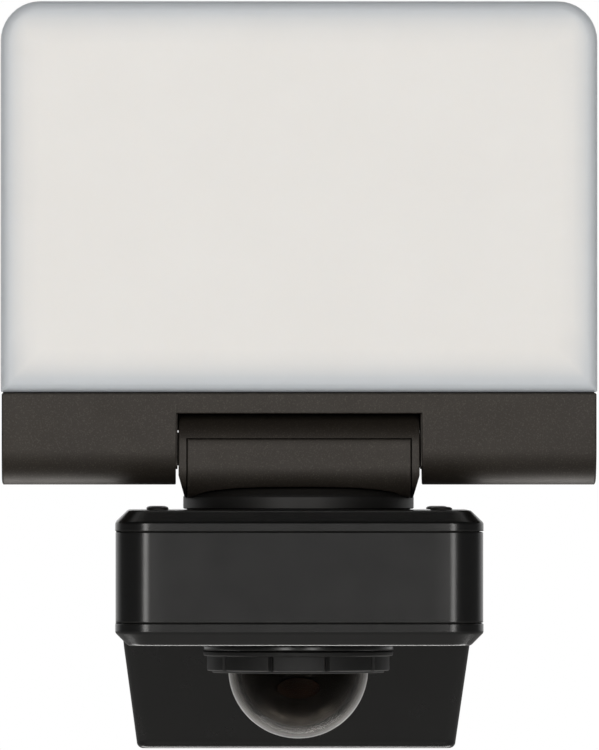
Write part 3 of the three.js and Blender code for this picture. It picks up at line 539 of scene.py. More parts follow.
def barWeb():
    # the bar's upper part over the cut, hollowed round the knuckle's barrel, with a lip behind it
    deep = bar["radius"]
    hollow = bar["cutTop"]
    turn = np.linspace(quarter, math.asin(bar["lipLow"] / hollow), 16)[1:]
    arc = np.stack([hollow * np.cos(turn), hollow * np.sin(turn)], -1)
    low, top = bar["lipLow"], bar["top"]
    corners = [arc[-1], (deep, low), (deep, top), (-deep, top), (-deep, hollow), (0, hollow)]
    upper = fillet(corners, [0, 0.4, bar["edge"], bar["edge"], 0.4, 0], isClosed=False)
    loop = np.concatenate([arc, upper[1:-1], [[-3, hollow], [0, hollow]]])
    along = bar["cutHalf"] * np.linspace(-1, 1, 9)
    return shell(carried(np.stack([loop] * 9), along, "x"), first="fan", last="fan")


def armBoss(side):
    # a raised pad round the shaft, with the bearing bore through it
    half = bar["bossHalf"]
    high = bar["cutTop"] + 1
    loop = roundRect(-half, half, bar["bossLow"], high, [1.0] * 4, 10, 12)
    soft = roundRect(-half + 0.12, half - 0.12, bar["bossLow"] + 0.12, high - 0.12, [0.9] * 4, 10, 12)
    hole = circleLike(loop, (0, 0), bar["bore"] - 0.1)
    face = bar["cutHalf"] - bar["bossHeight"]
    loops = np.stack([hole, soft, loop, loop, hole])
    along = side * np.array([face, face, face + 0.12, bar["cutHalf"] + 0.3, bar["cutHalf"] + 0.3])
    return shell(carried(loops, along, "x"), wrapRows=True)


def backPlate():
    # flat plate behind the panel with softened rear and front edges
    edgeIn, edgeDown = rounding(bar["plateEdge"])
    inset = 0.6 + np.array([20, 3, *edgeIn, *edgeIn[::-1], 3, 20])
    depth = np.array([0, 0, *edgeDown, *(3 - edgeDown[::-1]), 3, 3]) + bar["plateFront"]
    low = panel["low"] - 1.9
    loops = np.stack([panelLoop(value, low) for value in inset])
    return shell(carried(loops, depth, "y"), first="fan", last="fan")


def rib(half, low, high, tip, nose, endRound):
    # an upright rib on the plate: a nosed section whose crest drops in a quarter circle at each end
    root = bar["plateBack"] - 1
    corners = [(-half, root), (half, root), (half, tip), (-half, tip)]
    loop = fillet(corners, [0.02, 0.02, nose, nose], 4)
    endIn, endDown = rounding(endRound, 8)
    height = np.array([low, *(low + endDown), *(high - endDown[::-1]), high])
    crest = tip - np.array([endRound, *endIn, *endIn[::-1], endRound])
    share = (loop[:, 1] - root) / (tip - root)
    depth = root + share[None] * (crest - root)[:, None]
    loops = np.stack([np.broadcast_to(loop[:, 0], depth.shape), depth], -1)
    return shell(carried(loops, height, "z"), first="fan", last="fan")


def headFrame():
    # two arms, the web between them, the plate behind the panel, evenly spaced fins and the lead's duct
    places = (np.arange(bar["finCount"]) - (bar["finCount"] - 1) / 2) * bar["finPitch"]
    fin = rib(bar["finThick"] / 2, bar["finLow"], bar["finHigh"], bar["radius"], 0.7, 3.0)
    duct = rib(bar["ductHalf"], bar["top"] - 1, bar["ductHigh"], bar["radius"] - 0.1, 1.8, 2.5)
    fins = [shellAt for x in places for shellAt in moved([fin], (x, 0, 0))]
    arms = [barArm(-1), barArm(1), armBoss(-1), armBoss(1)]
    return [*arms, barWeb(), backPlate(), *fins, *moved([duct], (bar["ductX"], 0, 0))]


makePiece("headFrame", moved(headFrame(), tiltAxis), "head", ["head_frame"], finishes["anthracite"])


# Screws: a head turned about its axis with a hexagon socket sunk in it, and a plain shank.

def screwShell(head, rise, socket, sink, shank, length, sides=72):
    # profile from the socket's floor, up its wall, over the domed head, under it and down the shank
    dome = np.linspace(0, 1, 9)
    crown = np.stack([socket + 0.25 + (head - socket - 0.25) * np.sin(dome * quarter),
                      rise * (0.32 + 0.68 * np.cos(dome * quarter))], -1)
    start = [(0, rise - sink), (socket * 0.5, rise - sink), (socket - 0.08, rise - sink),
             (socket, rise - sink + 0.08), (socket, rise - 0.1), (socket + 0.1, rise)]
    under = [(head, 0.25), (head - 0.12, 0.05), (head - 0.3, 0), (shank + 0.2, 0), (shank, -0.2),
             (shank, -length + 0.4), (shank - 0.4, -length), (0, -length)]
    profile = np.array([*start, *crown, *under])

    def hexagon(angle, rows):
        # the socket's rows follow a hexagon of the same width across its flats
        sector = (angle + math.pi / 6) % (math.pi / 3) - math.pi / 6
        isSocket = (np.arange(len(rows)) < len(start)) & (rows[:, 0] > 0)
        return np.where(isSocket[:, None], rows[:, :1] * (0.92 / np.cos(sector)[None] - 1), 0)

    return turned(profile, (0, 0), sides, swell=hexagon)


def aimed(shells, axis):
    # a shell built upright, turned so that its top faces along the named axis
    turns = {"+z": ((1, 0, 0), (0, 1, 0), (0, 0, 1)), "+y": ((-1, 0, 0), (0, 0, 1), (0, 1, 0)),
             "-z": ((1, 0, 0), (0, -1, 0), (0, 0, -1))}
    matrix = np.array(turns[axis], float)
    return [(points @ matrix, faces) for points, faces in shells]


backScrew = {"head": 3.0, "rise": 2.0, "socket": 1.35, "sink": 1.2, "shank": 1.5, "length": 11.5}
backSpots = [(-77.5, 30), (77.5, 30), (77.5, 122), (-77.5, 122)]
for number, (x, z) in enumerate(backSpots, 1):
    spot = np.array(tiltAxis) + (x, bar["plateBack"] + 0.3, z)
    makePiece(f"diffuserScrew{number}", moved(aimed([screwShell(*backScrew.values())], "+y"), spot), "head",
              [f"diffuser_screw_{number}"], finishes["steel"])
print("light panel made")


# Knuckle, its turntable and the cover plate let into it.

knuckle = {
    "half": 36.35, "radius": 10.4, "drop": 14.8, "arcZ": -5.0, "rear": 12.0, "edge": 0.4,
    "inlayHalf": 33.7, "inlayTop": 3.1, "inlayThick": 1.8, "play": 0.35, "pocketDepth": 2.1, "pocketRear": 1.35,
    "slantZ": -8.0, "slant": 1.9, "bore": 6.8,
    "turretRadius": 34.9, "turretBase": -18.1, "turretShoulder": -14.6, "turretCrown": -11.9, "turretFlat": 18.0,
    "swivelBack": 12.0, "groove": (34.2, 31.2, 1.9), "seat": (18.6, 2.4),
}


def knuckleFace(inset, count=(8, 6, 22, 10)):
    # the covered part of the side outline: down the front, round the curl and back along the underside
    radius = knuckle["radius"] - inset
    curl = knuckle["drop"] + knuckle["arcZ"]
    top = knuckle["inlayTop"] + knuckle["play"]
    turn = np.linspace(math.pi - math.asin(top / radius), math.pi, count[0])
    front = np.stack([radius * np.cos(turn), radius * np.sin(turn)], -1)
    straight = np.stack([np.full(count[1], -radius), np.linspace(0, knuckle["arcZ"], count[1] + 2)[1:-1]], -1)
    turn = np.linspace(math.pi, 1.5 * math.pi, count[2])
    arcY = curl - knuckle["radius"]
    bend = np.stack([arcY + (curl - inset) * np.cos(turn), knuckle["arcZ"] + (curl - inset) * np.sin(turn)], -1)
    reach = np.linspace(arcY, knuckle["pocketRear"], count[3] + 1)[1:]
    under = np.stack([reach, np.full(count[3], -knuckle["drop"] + inset)], -1)
    return np.concatenate([front, straight, bend, under])


def knuckleLoop(inset, pocket=0.0):
    # the whole side outline; inside the pocket the covered part lies deeper
    radius = knuckle["radius"] - inset
    face = knuckleFace(inset)
    sunk = knuckleFace(inset + pocket) if pocket else face
    top = math.asin(knuckle["inlayTop"] / knuckle["radius"])
    turn = np.linspace(-math.pi / 12, math.pi - top - 0.02, 44)
    barrel = np.stack([radius * np.cos(turn), radius * np.sin(turn)], -1)
    rear = knuckle["rear"] - inset
    base = -knuckle["drop"] + inset
    tail = fillet([(face[-1, 0], base), (rear, base), (rear, -9), (barrel[0, 0], barrel[0, 1])], [0, 0.8, 1.2, 0],
                  isClosed=False)
    return np.concatenate([barrel, face[:1], sunk, face[-1:], tail[2:-2]])


def slanted(loops, along):
    # below the slant's start the ends draw in, in proportion to the depth
    inner = knuckle["inlayHalf"] + knuckle["play"]
    depth = np.clip((knuckle["slantZ"] - loops[..., 1]) / (knuckle["drop"] + knuckle["slantZ"]), 0, 1)
    end = knuckle["half"] - knuckle["slant"] * depth
    beyond = np.maximum(np.abs(along)[:, None] - inner, 0)
    scale = (end - inner) / (knuckle["half"] - inner)
    return np.sign(along)[:, None] * (np.minimum(np.abs(along)[:, None], inner) + beyond * scale)


def knuckleBlock():
    # rows run along the barrel over its pocket, round each end face and back through the bearing bore
    edgeIn, edgeDown = rounding(knuckle["edge"])
    inner = knuckle["inlayHalf"] + knuckle["play"]
    end = knuckleLoop(knuckle["edge"])
    hole = circleLike(end, (0, 0), knuckle["bore"])
    isBelow = end[:, 1] < knuckle["slantZ"]
    ring = np.where(isBelow[:, None], np.stack([end[:, 0], np.full(len(end), knuckle["slantZ"])], -1),
                    end * 0.75 + hole * 0.25)
    whole = knuckleLoop(0)
    sunk = knuckleLoop(0, knuckle["pocketDepth"])
    rightLoops = [sunk, whole, whole, *[knuckleLoop(inset) for inset in edgeIn[::-1]], ring, hole]
    rightX = np.array([inner, inner, knuckle["half"] - knuckle["edge"] - 0.5,
                       *(knuckle["half"] - edgeDown[::-1]), knuckle["half"], knuckle["half"]])
    loops = np.stack([*rightLoops[::-1], *rightLoops])
    along = np.concatenate([-rightX[::-1], rightX])
    return shell(carried(loops, slanted(loops, along), "x"), wrapRows=True)


def turretTop(radius):
    # height of the turntable's top: level in the middle, then a quarter ellipse down to its wall
    share = (radius - knuckle["turretFlat"]) / (knuckle["turretRadius"] - knuckle["turretFlat"])
    rise = knuckle["turretCrown"] - knuckle["turretShoulder"]
    return knuckle["turretShoulder"] + rise * np.sqrt(1 - np.clip(share, 0, 1) ** 2)


def turret():
    # a disc with a domed top; a groove and a seat are sunk in its underside
    radius = knuckle["turretRadius"]
    base = knuckle["turretBase"]
    wide = radius - knuckle["turretFlat"]
    topRadius = [0, 6, 12, *(radius - wide * (1 - np.sin(np.linspace(0, quarter, 24)))), radius]
    top = [(at, turretTop(at)) for at in topRadius]
    wallTop = knuckle["turretShoulder"] - base - 0.5
    grooveOut, grooveIn, grooveHigh = knuckle["groove"]
    seat, seatHigh = knuckle["seat"]
    lower = [(radius, wallTop), (radius, 0.5), (radius, 0.25), (radius - 0.35, 0), (grooveOut, 0),
             (grooveOut, grooveHigh), (grooveIn, grooveHigh), (grooveIn, 0), (seat, 0), (seat, seatHigh),
             (0, seatHigh)]
    profile = [*top, *[(at, base + rise) for at, rise in lower]]
    return turned(profile, (0, knuckle["swivelBack"]), 160)


def turretShade(points):
    # 1 on the turntable, 0 on the block above it
    return {"shade": smooth(tiltAxis[2] + knuckle["turretCrown"] + 1 - points[:, 2])}


makePiece("hingeKnuckle", moved([knuckleBlock(), turret()], tiltAxis), "swivel", ["hinge_knuckle"],
          finishes["anthracite"], fields=turretShade)


def inlayPlate():
    # a bent plate over the pocket; its lower edge follows the turntable's round front
    outline = knuckleFace(0, (24, 40, 100, 36))
    step = np.concatenate([[0], np.cumsum(np.linalg.norm(np.diff(outline, axis=0), axis=1))])
    isPlate = outline[:, 1] <= knuckle["inlayTop"] + 1e-6
    begin = step[isPlate][0]
    along = np.linspace(begin, step[-1], 1500)
    y = np.interp(along, step, outline[:, 0])
    z = np.interp(along, step, outline[:, 1])
    tangent = unit(np.stack([np.gradient(y), np.gradient(z)], -1))
    half = knuckle["inlayHalf"]
    soft = 0.35
    edgeIn, edgeDown = rounding(soft, 4)
    x = np.concatenate([-half + edgeIn[::-1], np.linspace(-half + 0.8, half - 0.8, 61), half - edgeIn])
    sideDown = np.concatenate([edgeDown[::-1], np.zeros(61), edgeDown])
    x[0], x[-1] = -half, half
    fromAxis = np.hypot(x[:, None], y[None] - knuckle["swivelBack"])
    isOver = fromAxis < knuckle["turretRadius"] + knuckle["play"]
    isMet = isOver & (z[None] < turretTop(fromAxis) + knuckle["play"]) | (y[None] > 1.0)
    endAt = along[np.argmax(isMet, axis=1)] - begin
    share = np.linspace(0, 1, 40)[None]
    margin = soft + 0.5
    body = margin + (endAt[:, None] - 2 * margin) * share
    start = np.broadcast_to(edgeDown, (len(x), len(edgeDown)))
    at = np.concatenate([start, body, endAt[:, None] - start[:, ::-1]], 1)
    down = np.concatenate([edgeIn, np.zeros(body.shape[1]), edgeIn[::-1]])
    outerDown = np.maximum(down[None], sideDown[:, None])
    depth = np.concatenate([outerDown, np.full(at.shape, knuckle["inlayThick"])], 1)
    at = np.concatenate([at, at[:, ::-1]], 1) + begin
    normal = np.stack([np.interp(at, along, tangent[:, 1]), np.interp(at, along, -tangent[:, 0])], -1)
    flat = np.stack([np.interp(at, along, y), np.interp(at, along, z)], -1)
    loops = flat + unit(normal) * depth[..., None] * -1
    return shell(carried(loops, x, "x"), first="strip", last="strip")


makePiece("knuckleInlay", moved([inlayPlate()], tiltAxis), "swivel", ["knuckle_cover"], finishes["anthracite"])
print("knuckle made")


# Housing: a top cover, a band and a bottom cover, one above the other.

housing = {
    "half": 55.45, "front": -153.0, "back": -58.6, "corner": 10.5, "top": 39.6, "bottom": -1.2, "chamfer": 3.9,
    "topChamfer": 35.8, "bottomChamfer": 2.7, "upperSeam": 33.1, "lowerSeam": 5.6, "seam": 0.15,
    "bandInset": 0.1, "wall": 3.0, "skin": 2.8, "stemHole": 12.4, "socketHole": 20.0,
    "swivelY": -112.0, "domeY": -104.0,
}


def planLoop(inset):
    # the housing's plan outline, set in on every side
    corner = max(housing["corner"] - inset, 1.0)
    half = housing["half"] - inset
    return roundRect(-half, half, housing["front"] + inset, housing["back"] - inset, [corner] * 4, 14, 16)


def around(profile, holeCentre=None, hole=None):
    # a closed profile of inset and height carried round the plan; rows marked None follow the hole instead
    rows = []
    for inset, _ in profile:
        rows.append(circleLike(planLoop(6), holeCentre, hole) if inset is None else planLoop(inset))
    return shell(carried(np.stack(rows), np.array([z for _, z in profile]), "z"), wrapRows=True)


def coverProfile(face, knee, seam, skin, side):
    # from the seam over the chamfer to the face's hole, and back under it; side is +1 upward, -1 downward
    inset = housing["chamfer"]
    lip = 0.25
    outer = fillet([(1.5, seam), (0, seam), (0, knee), (inset, face), (14, face)], [0, lip, 1.2, 1.6, 0], 6,
                   isClosed=False)
    wall = housing["wall"] + 1
    under = face - side * skin
    inner = [(14, under), (wall + 0.4, under), (wall, under - side * 0.4), (wall, seam + side * 1.5),
             (1.5, seam + side * 1.5)]
    outer = [tuple(point) for point in outer]
    hole = [(None, face), (None, under)]
    return [*outer[2:-2], *hole, *inner]


topProfile = coverProfile(housing["top"], housing["topChamfer"], housing["upperSeam"] + housing["seam"],
                          housing["skin"], 1)
bottomProfile = coverProfile(housing["bottom"], housing["bottomChamfer"], housing["lowerSeam"] - housing["seam"],
                             housing["skin"], -1)
bandProfile = fillet([
    (housing["bandInset"], housing["lowerSeam"] + housing["seam"]),
    (housing["bandInset"], housing["upperSeam"] - housing["seam"]),
    (housing["wall"], housing["upperSeam"] - housing["seam"]),
    (housing["wall"], housing["lowerSeam"] + housing["seam"]),
], [0.25, 0.25, 0.1, 0.1], 4)

makePiece("topCover", [around(topProfile, (0, housing["swivelY"]), housing["stemHole"])], "base", ["top_cover"],
          finishes["blackPlastic"])
makePiece("housingBand", [around([tuple(point) for point in bandProfile])], "base", ["housing_band"],
          finishes["blackPlastic"])
makePiece("bottomCover", [around(bottomProfile, (0, housing["domeY"]), housing["socketHole"])], "base",
          ["bottom_cover"], finishes["blackPlastic"])

coverScrew = {"head": 3.35, "rise": 1.0, "socket": 1.3, "sink": 0.7, "shank": 1.5, "length": 36.0}
coverSpots = {"front_left": (-42.7, -141.5), "front_right": (42.7, -141.5), "rear_left": (-42.7, -70.1),
              "rear_right": (42.7, -70.1)}
for word, (x, y) in coverSpots.items():
    side, hand = word.split("_")
    makePiece(f"coverScrew{side.title()}{hand.title()}",
              moved([screwShell(*coverScrew.values())], (x, y, housing["top"] + 0.02)), "base",
              [f"cover_screw_{word}"], finishes["darkScrew"])
print("housing made")


# Wall box: open at the back, narrower and shallower below its knee.

wallBox = {
    "front": 58.0, "frontLow": 40.0, "width": 106.3, "widthLow": 98.0, "top": 34.0, "knee": -1.0, "bottom": -34.0,
    "corner": 4.0, "wall": 3.0, "back": 1.2, "mouthHalf": 44.0, "topEdge": 0.9, "bottomEdge": 2.0, "kneeSoft": 1.6,
}


def boxTaper(z):
    # 0 above the knee, growing evenly to 1 at the lower end, with a soft turn between
    over = (wallBox["knee"] - z) / (wallBox["knee"] - wallBox["bottom"] - wallBox["bottomEdge"])
    soft = wallBox["kneeSoft"] / 31
    return np.where(over > soft, over, np.where(over < -soft, 0, (over + soft) ** 2 / (4 * soft)))


def boxHalfLoop(half, depth, corner, back):
    # from the back left, along the side, round the corner, across the front and back again on the right
    side = np.linspace(-back, -depth + corner, 8)[:-1]
    left = np.stack([np.full(7, -half), side], -1)
    turn = np.linspace(math.pi, 1.5 * math.pi, 11)
    bend = np.stack([-half + corner + corner * np.cos(turn), -depth + corner + corner * np.sin(turn)], -1)
    across = np.stack([np.linspace(-half + corner, half - corner, 14)[1:-1], np.full(12, -depth)], -1)
    mirror = np.array([-1, 1])
    return np.concatenate([left, bend, across, bend[::-1] * mirror, left[::-1] * mirror])


def boxShell():
    # rows run upward; each is an outer loop and an inner one, which lies on the back plane in the end walls
    topIn, topDown = rounding(wallBox["topEdge"])
    lowIn, lowDown = rounding(wallBox["bottomEdge"], 7)
    wall = wallBox["wall"]
    low, high = wallBox["bottom"], wallBox["top"]
    knee = np.linspace(-9, 7, 17)
    solidLow = np.concatenate([[low], low + lowDown, [low + 2.6]])
    solidHigh = np.concatenate([[high - 1.5], high - topDown[::-1], [high]])
    openHeights = np.concatenate([[low + wall, low + 5, low + 14], knee, [16, high - 5, high - wall]])
    heights = [*solidLow, low + wall, low + wall, *openHeights, high - wall, high - wall, *solidHigh]
    kinds = [*["solid"] * (len(solidLow) + 1), "shelf", *["open"] * len(openHeights), "shelf",
             *["solid"] * (len(solidHigh) + 1)]
    insets = np.zeros(len(heights))
    insets[: len(solidLow)] = [wallBox["bottomEdge"] + 1.2, *lowIn, 0]
    insets[-len(solidHigh):] = [0, *topIn[::-1], wallBox["topEdge"] + 0.8]
    rows = []
    for height, kind, inset in zip(heights, kinds, insets):
        taper = boxTaper(np.array(max(height, low + wallBox["bottomEdge"])))
        half = (wallBox["width"] + (wallBox["widthLow"] - wallBox["width"]) * taper) / 2
        depth = wallBox["front"] + (wallBox["frontLow"] - wallBox["front"]) * taper
        mouth, back = wallBox["mouthHalf"], wallBox["back"]
        lips = np.array([[-mouth, -back], [-mouth, -back - wall]])
        outer = boxHalfLoop(half - inset, depth - inset, max(wallBox["corner"] - inset, 0.6), wallBox["back"])
        inner = boxHalfLoop(half - wall, depth - wall, 1.0, wallBox["back"] + wall)
        outer = np.concatenate([outer[:1], outer[:1] * 0.5 + outer[1:2] * 0.5, outer[1:-1],
                                outer[-1:] * 0.5 + outer[-2:-1] * 0.5, outer[-1:]])
        outer = np.concatenate([outer[:1], outer, outer[-1:]])
        inner = np.concatenate([lips, inner, lips[::-1] * np.array([-1, 1])])
        if kind != "open":
            flat = -wallBox["back"] - (wall if kind == "shelf" else 0)
            across = np.clip(inner[:, 0], -wallBox["mouthHalf"], wallBox["mouthHalf"])
            isLip = np.arange(len(inner)) % (len(inner) - 1) == 0
            inner = np.stack([across, np.where(isLip, -wallBox["back"], flat)], -1)
        rows.append(np.concatenate([outer, inner[::-1]]))
    return shell(carried(np.stack(rows), np.array(heights), "z"), first="strip", last="strip")


makePiece("wallBoxShell", [boxShell()], "base", ["wall_box"], finishes["boxPlastic"])

grommet = {"outer": 7.7, "inner": 5.0, "lip": 9.4, "depth": (0.2, 4.3, 6.2, 7.0), "z": 15.0}
back, lipBack, lipFront, front = grommet["depth"]
grommetPath = fillet([
    (grommet["inner"], back), (grommet["outer"], back), (grommet["outer"], lipBack), (grommet["lip"], lipBack),
    (grommet["lip"], lipFront), (grommet["outer"], lipFront), (grommet["outer"], front), (grommet["inner"], front),
], [0.6, 0.4, 0.2, 0.5, 0.5, 0.2, 0.4, 0.6], 4, 0.2)
grommetShell = turned(grommetPath * np.array([1, -1]), (0, 0), 64, isRing=True)
makePiece("cableGrommet", moved(aimed([grommetShell], "+y"), (0, 0, grommet["z"])), "base", ["cable_grommet"],
          finishes["rubber"])

boxScrew = {"head": 3.1, "rise": 1.3, "socket": 1.2, "sink": 0.8, "shank": 1.5, "length": 7.6}
for word, x in (("left", -30.0), ("right", 30.0)):
    makePiece(f"boxScrew{word.title()}",
              moved(aimed([screwShell(*boxScrew.values())], "-z"), (x, -20.0, wallBox["bottom"] + 1.4)), "base",
              [f"box_screw_{word}"], finishes["darkScrew"])
print("wall box made")


# Sensor: socket, grip ring, smoked dome, and the detector's ball with its oval window.

sensor = {
    "y": -104.0, "ballZ": -8.6, "dome": 21.2, "domeWall": 1.7, "domeRim": -5.3, "core": 17.5, "coreRim": -5.2,
    "coreWall": 1.5, "lobes": 10, "notch": 1.45, "notchHalf": 2.1, "grip": 27.7, "gripLow": -9.2, "gripEnd": -9.8,
    "pitch": math.radians(20), "ovalWide": 6.8, "ovalHigh": 3.8,
}
sensorCentre = (0.0, sensor["y"])
socketPath = fillet([(17, -3), (29, -3), (29, -1.5), (19.6, -1.5), (19.6, 5), (17, 5)],
                    [0.3, 0.35, 0.3, 0.1, 0.2, 0.2])
makePiece("sensorSocket", [turned(socketPath, sensorCentre, 128, isRing=True)], "base", ["sensor_socket"],
          finishes["blackPlastic"])

gripPath = fillet([
    (16.6, -3.3), (28.9, -3.3), (28.7, -4.7), (sensor["grip"], -4.75), (sensor["grip"], sensor["gripLow"]),
    (26.1, sensor["gripLow"] - 0.05), (26.0, sensor["gripEnd"]), (21.5, sensor["gripEnd"]), (21.5, -4.9),
    (14.5, -4.9), (14.5, 7), (16.6, 7),
], [0.2, 0.4, 0.4, 0.15, 0.5, 0.1, 0.3, 0.3, 0.1, 0.1, 0.2, 0.2], 5, 0.3)


def gripNotch(angle, rows):
    # between two lobes the outer rows dip in a rounded V
    pitch = 2 * math.pi / sensor["lobes"]
    off = np.abs((angle + quarter) % pitch - pitch / 2)
    dip = smooth(1 - np.degrees(off) / sensor["notchHalf"])
    onLobe = smooth((rows[:, 0] - 26.15) / 0.6) * smooth((-4.72 - rows[:, 1]) / 0.05)
    return -sensor["notch"] * onLobe[:, None] * dip[None]


makePiece("gripRing", [turned(gripPath, sensorCentre, 720, isRing=True, swell=gripNotch)], "sensor", ["grip_ring"],
          finishes["gripPlastic"], bend=28.0)


def bowl(radius, wall, rim, rows):
    # outside from the lowest point up to the rim, then the inside back down
    ends = [math.asin((rim - sensor["ballZ"]) / r) for r in (radius, radius - wall)]
    turns = [np.linspace(-quarter, end, rows) for end in ends]
    outer = np.stack([radius * np.cos(turns[0]), sensor["ballZ"] + radius * np.sin(turns[0])], -1)
    inside = radius - wall
    inner = np.stack([inside * np.cos(turns[1]), sensor["ballZ"] + inside * np.sin(turns[1])], -1)
    outer[0, 0] = inner[0, 0] = 0
    return np.concatenate([outer, inner[::-1]])


makePiece("domeLens", [turned(bowl(sensor["dome"], sensor["domeWall"], sensor["domeRim"], 40), sensorCentre, 128)],
          "sensor", ["dome_lens"], finishes["smoked"], bend=50.0)

lookAhead = np.array([0, -math.cos(sensor["pitch"]), -math.sin(sensor["pitch"])])
lookUp = np.array([0, -math.sin(sensor["pitch"]), math.cos(sensor["pitch"])])


def coreBall():
    # a dark bowl whose wall dips in an oval where the window sits
    (points, faces), = [turned(bowl(sensor["core"], sensor["coreWall"], sensor["coreRim"], 72), (0, 0), 180)]
    out = points - (0, 0, sensor["ballZ"])
    length = np.linalg.norm(out, axis=1)
    isOuter = length > sensor["core"] - 0.2
    oval = np.hypot(out[:, 0] / sensor["ovalWide"], out @ lookUp / sensor["ovalHigh"])
    dip = 0.9 * smooth((1.08 - oval) / 0.1) * (out @ lookAhead > 0) * isOuter
    out = out * (1 - dip / length)[:, None]
    return out + (0, sensor["y"], sensor["ballZ"]), faces


def window():
    # an oval plug with a domed face
    reach = np.array([0, 0.3, 0.55, 0.75, 0.88, 0.95, 0.985, 1.0, 1.0, 0.0])
    depth = np.array([17.35, 17.3, 17.2, 17.05, 16.9, 16.8, 16.7, 16.5, 16.05, 16.05])
    angle = np.arange(72) * 2 * math.pi / 72
    x = (sensor["ovalWide"] - 0.35) * reach[:, None] * np.cos(angle)
    up = (sensor["ovalHigh"] - 0.35) * reach[:, None] * np.sin(angle)
    grid = x[..., None] * np.array([1, 0, 0]) + up[..., None] * lookUp + depth[:, None, None] * lookAhead
    return shell(grid + (0, sensor["y"], sensor["ballZ"]))


makePiece("detectorBall", [coreBall()], "sensor", ["detector_housing"], finishes["corePlastic"])
makePiece("detectorWindow", [window()], "sensor", ["sensor_lens"], finishes["window"])
print("sensor made")


# CAD nodes that stay in view or inside keep their shape and take a worked finish.

nodeFinishes = {
    "boxPlastic": ["wall_plate"],
    "blackPlastic": ["hinge_bush_left", "hinge_bush_right", "sensor_retainer"],
    "rubber": ["wall_gasket", "upper_seal", "lower_seal", "turntable_seal", "diffuser_seal"],
    "steel": ["link_sleeve", "link_nut", "swivel_spigot", "swivel_washer", "swivel_nut", "spring_washer_left",
              "spring_washer_right", "shaft_nut_left", "shaft_nut_right"],
    "darkScrew": ["hinge_shaft_left", "hinge_shaft_right"],
    "board": ["power_board", "sensor_board"],
    "whiteBoard": ["led_board", "diffusing_sheet"],
    "component": ["transformer", "smoothing_capacitor", "relay"],
    "terminal": ["terminal_block"],
    "lead": ["lead_lower", "lead_middle", "lead_upper"],
}
for name, members in nodeFinishes.items():
    for member in members:
        for slotOf in nodes[member].material_slots:
            slotOf.material = finishes[name]
print("node finishes set")


# Floor, light and camera.

floor = {
    "z": -0.30, "radius": 7.0, "rings": 23, "sides": 96, "colour": (224, 223, 220), "speck": (220, 219, 216),
    "shine": 0.08,
}


def floorDisc():
    # rings of a flat disc, closer together near the middle; it is clear from below
    rings, sides = floor["rings"], floor["sides"]
    angle = np.arange(sides) * 2 * math.pi / sides
    radius = floor["radius"] * (np.arange(1, rings + 1)[:, None] / rings) ** 2
    grid = np.stack([radius * np.cos(angle), radius * np.sin(angle), np.full((rings, sides), floor["z"])], -1)
    points = np.vstack([grid.reshape(-1, 3), [[0, 0, floor["z"]]]])
    near = np.arange(sides)
    fan = np.stack([near, (near + 1) % sides, np.full(sides, rings * sides)], -1)
    quads = gridQuads(rings, sides, False, True)[:, ::-1]
    mesh = bpy.data.meshes.new("floor")
    mesh.from_pydata(points.tolist(), [], quads.tolist() + fan.tolist())
    tree = Tree("floorPale")
    share = tree.ramp(tree.noise(60.0, 4.0), 0.3, 0.7, 0.0, 1.0)
    base = tree.blend(share, linear(floor["colour"]), linear(floor["speck"]))
    rough = tree.ramp(tree.noise(25.0, 3.0), 0.3, 0.7, 0.7, 0.85)
    grain = tree.bump(tree.noise(1.2, 2.0), 0.03)
    tree.feed(tree.shader, {"Base Color": base, "Roughness": rough, "Normal": grain, "Emission Color": base})
    tree.shader.inputs["Emission Strength"].default_value = floor["shine"]
    facing = tree.add("NewGeometry").outputs["Backfacing"]
    clear = tree.add("BsdfTransparent").outputs["BSDF"]
    mix = tree.add("MixShader")
    tree.tree.links.new(facing, mix.inputs[0])
    tree.tree.links.new(tree.shader.outputs["BSDF"], mix.inputs[1])
    tree.tree.links.new(clear, mix.inputs[2])
    tree.tree.links.new(mix.outputs[0], tree.tree.nodes["Material Output"].inputs["Surface"])
    mesh.materials.append(tree.material)
    disc = bpy.data.objects.new("floor", mesh)
    bpy.context.scene.collection.objects.link(disc)


floorDisc()

sky = {
    "back": 1.0, "front": 0.14, "above": 0.03, "below": 0.45,
    "upperSpan": (0.1, 0.5), "lowerSpan": (-0.3, -0.02), "backSpan": (0.3, 0.8),
}


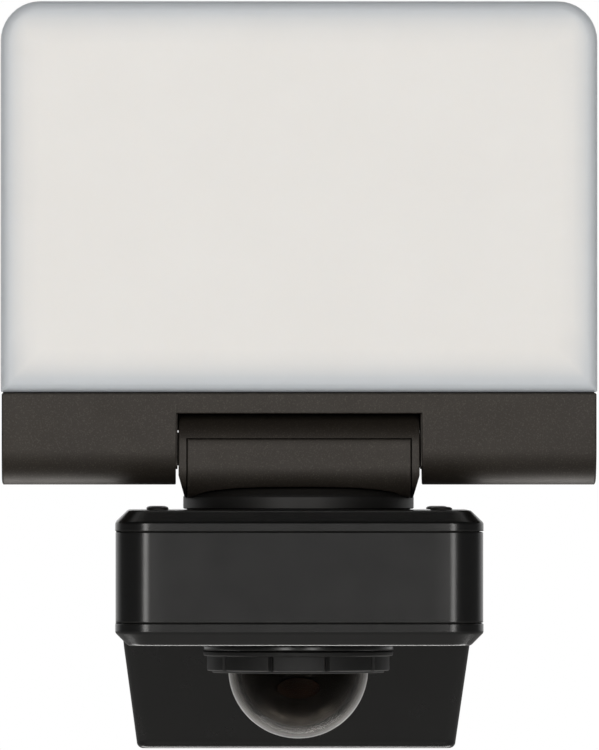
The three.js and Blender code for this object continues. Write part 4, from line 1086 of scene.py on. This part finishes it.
def softSky():
    # white behind the object and in view, dim on the camera's side and overhead, paler below
    world = bpy.data.worlds.new("softSky")
    bpy.context.scene.world = world
    world.use_nodes = True
    tree = world.node_tree
    tree.nodes.clear()

    def add(kind, **inputs):
        node = tree.nodes.new("ShaderNode" + kind)
        for key, value in inputs.items():
            if isinstance(value, bpy.types.NodeSocket):
                tree.links.new(value, node.inputs[key])
            else:
                node.inputs[key].default_value = value
        return node

    def combine(operation, one, two):
        node = tree.nodes.new("ShaderNodeMath")
        node.operation = operation
        tree.links.new(one, node.inputs[0])
        tree.links.new(two, node.inputs[1])
        return node.outputs[0]

    split = add("SeparateXYZ", Vector=add("TexCoord").outputs["Generated"])

    def reach(socket, low, high, start, end):
        return add("MapRange", **{"Value": socket, "From Min": low, "From Max": high, "To Min": start,
                                  "To Max": end}).outputs["Result"]

    upper = reach(split.outputs["Z"], *sky["upperSpan"], sky["front"], sky["above"])
    lower = reach(split.outputs["Z"], *sky["lowerSpan"], sky["below"], 0.0)
    behind = reach(split.outputs["Y"], *sky["backSpan"], 0.0, sky["back"])
    level = combine("MAXIMUM", combine("MAXIMUM", upper, lower), behind)
    seen = add("Background", Color=(1, 1, 1, 1), Strength=1.0)
    light = add("Background", Color=(1, 1, 1, 1), Strength=level)
    mix = add("MixShader")
    tree.links.new(add("LightPath").outputs["Is Camera Ray"], mix.inputs[0])
    tree.links.new(light.outputs[0], mix.inputs[1])
    tree.links.new(seen.outputs[0], mix.inputs[2])
    tree.links.new(mix.outputs[0], add("OutputWorld").inputs["Surface"])


softSky()

softboxes = {
    "leftBox": {"at": (-0.48, -1.75, 0.24), "aim": (0, -0.13, 0.1), "size": (0.34, 1.2), "power": 9.5},
    "rightBox": {"at": (0.48, -1.75, 0.24), "aim": (0, -0.13, 0.1), "size": (0.3, 1.2), "power": 8.0},
    "lowBox": {"at": (0, 0.05, -0.285), "aim": (0, -0.13, 0.06), "size": (0.44, 0.16), "power": 1.5},
}


def turnTo(thing):
    # the turn that points a lamp or camera from its place to its aim
    return (Vector(thing["aim"]) - Vector(thing["at"])).to_track_quat("-Z", "Y").to_euler()


def softbox(name, box):
    # a flat rectangle of light aimed at the object; the camera doesn't see it
    lamp = bpy.data.lights.new(name, "AREA")
    lamp.shape = "RECTANGLE"
    lamp.size, lamp.size_y = box["size"]
    lamp.energy = box["power"]
    lamp.color = (1.0, 0.985, 0.965)
    holder = bpy.data.objects.new(name, lamp)
    holder.location = box["at"]
    holder.rotation_euler = turnTo(box)
    holder.visible_camera = False
    bpy.context.scene.collection.objects.link(holder)


for name, box in softboxes.items():
    softbox(name, box)

cameraPlace = {
    "at": (-0.047, -5.1348, 0.0607), "aim": (0.0001, -0.1348, 0.0803), "lens": 796.1, "sensor": 36.0,
    "near": 0.1, "far": 100.0,
}
lensData = bpy.data.cameras.new("camera")
lensData.lens = cameraPlace["lens"]
lensData.sensor_width = cameraPlace["sensor"]
lensData.clip_start = cameraPlace["near"]
lensData.clip_end = cameraPlace["far"]
camera = bpy.data.objects.new("camera", lensData)
camera.location = cameraPlace["at"]
camera.rotation_euler = turnTo(cameraPlace)
bpy.context.scene.collection.objects.link(camera)
bpy.context.scene.camera = camera
bpy.context.scene.view_settings.view_transform = "Standard"
print("floor, light and camera set")
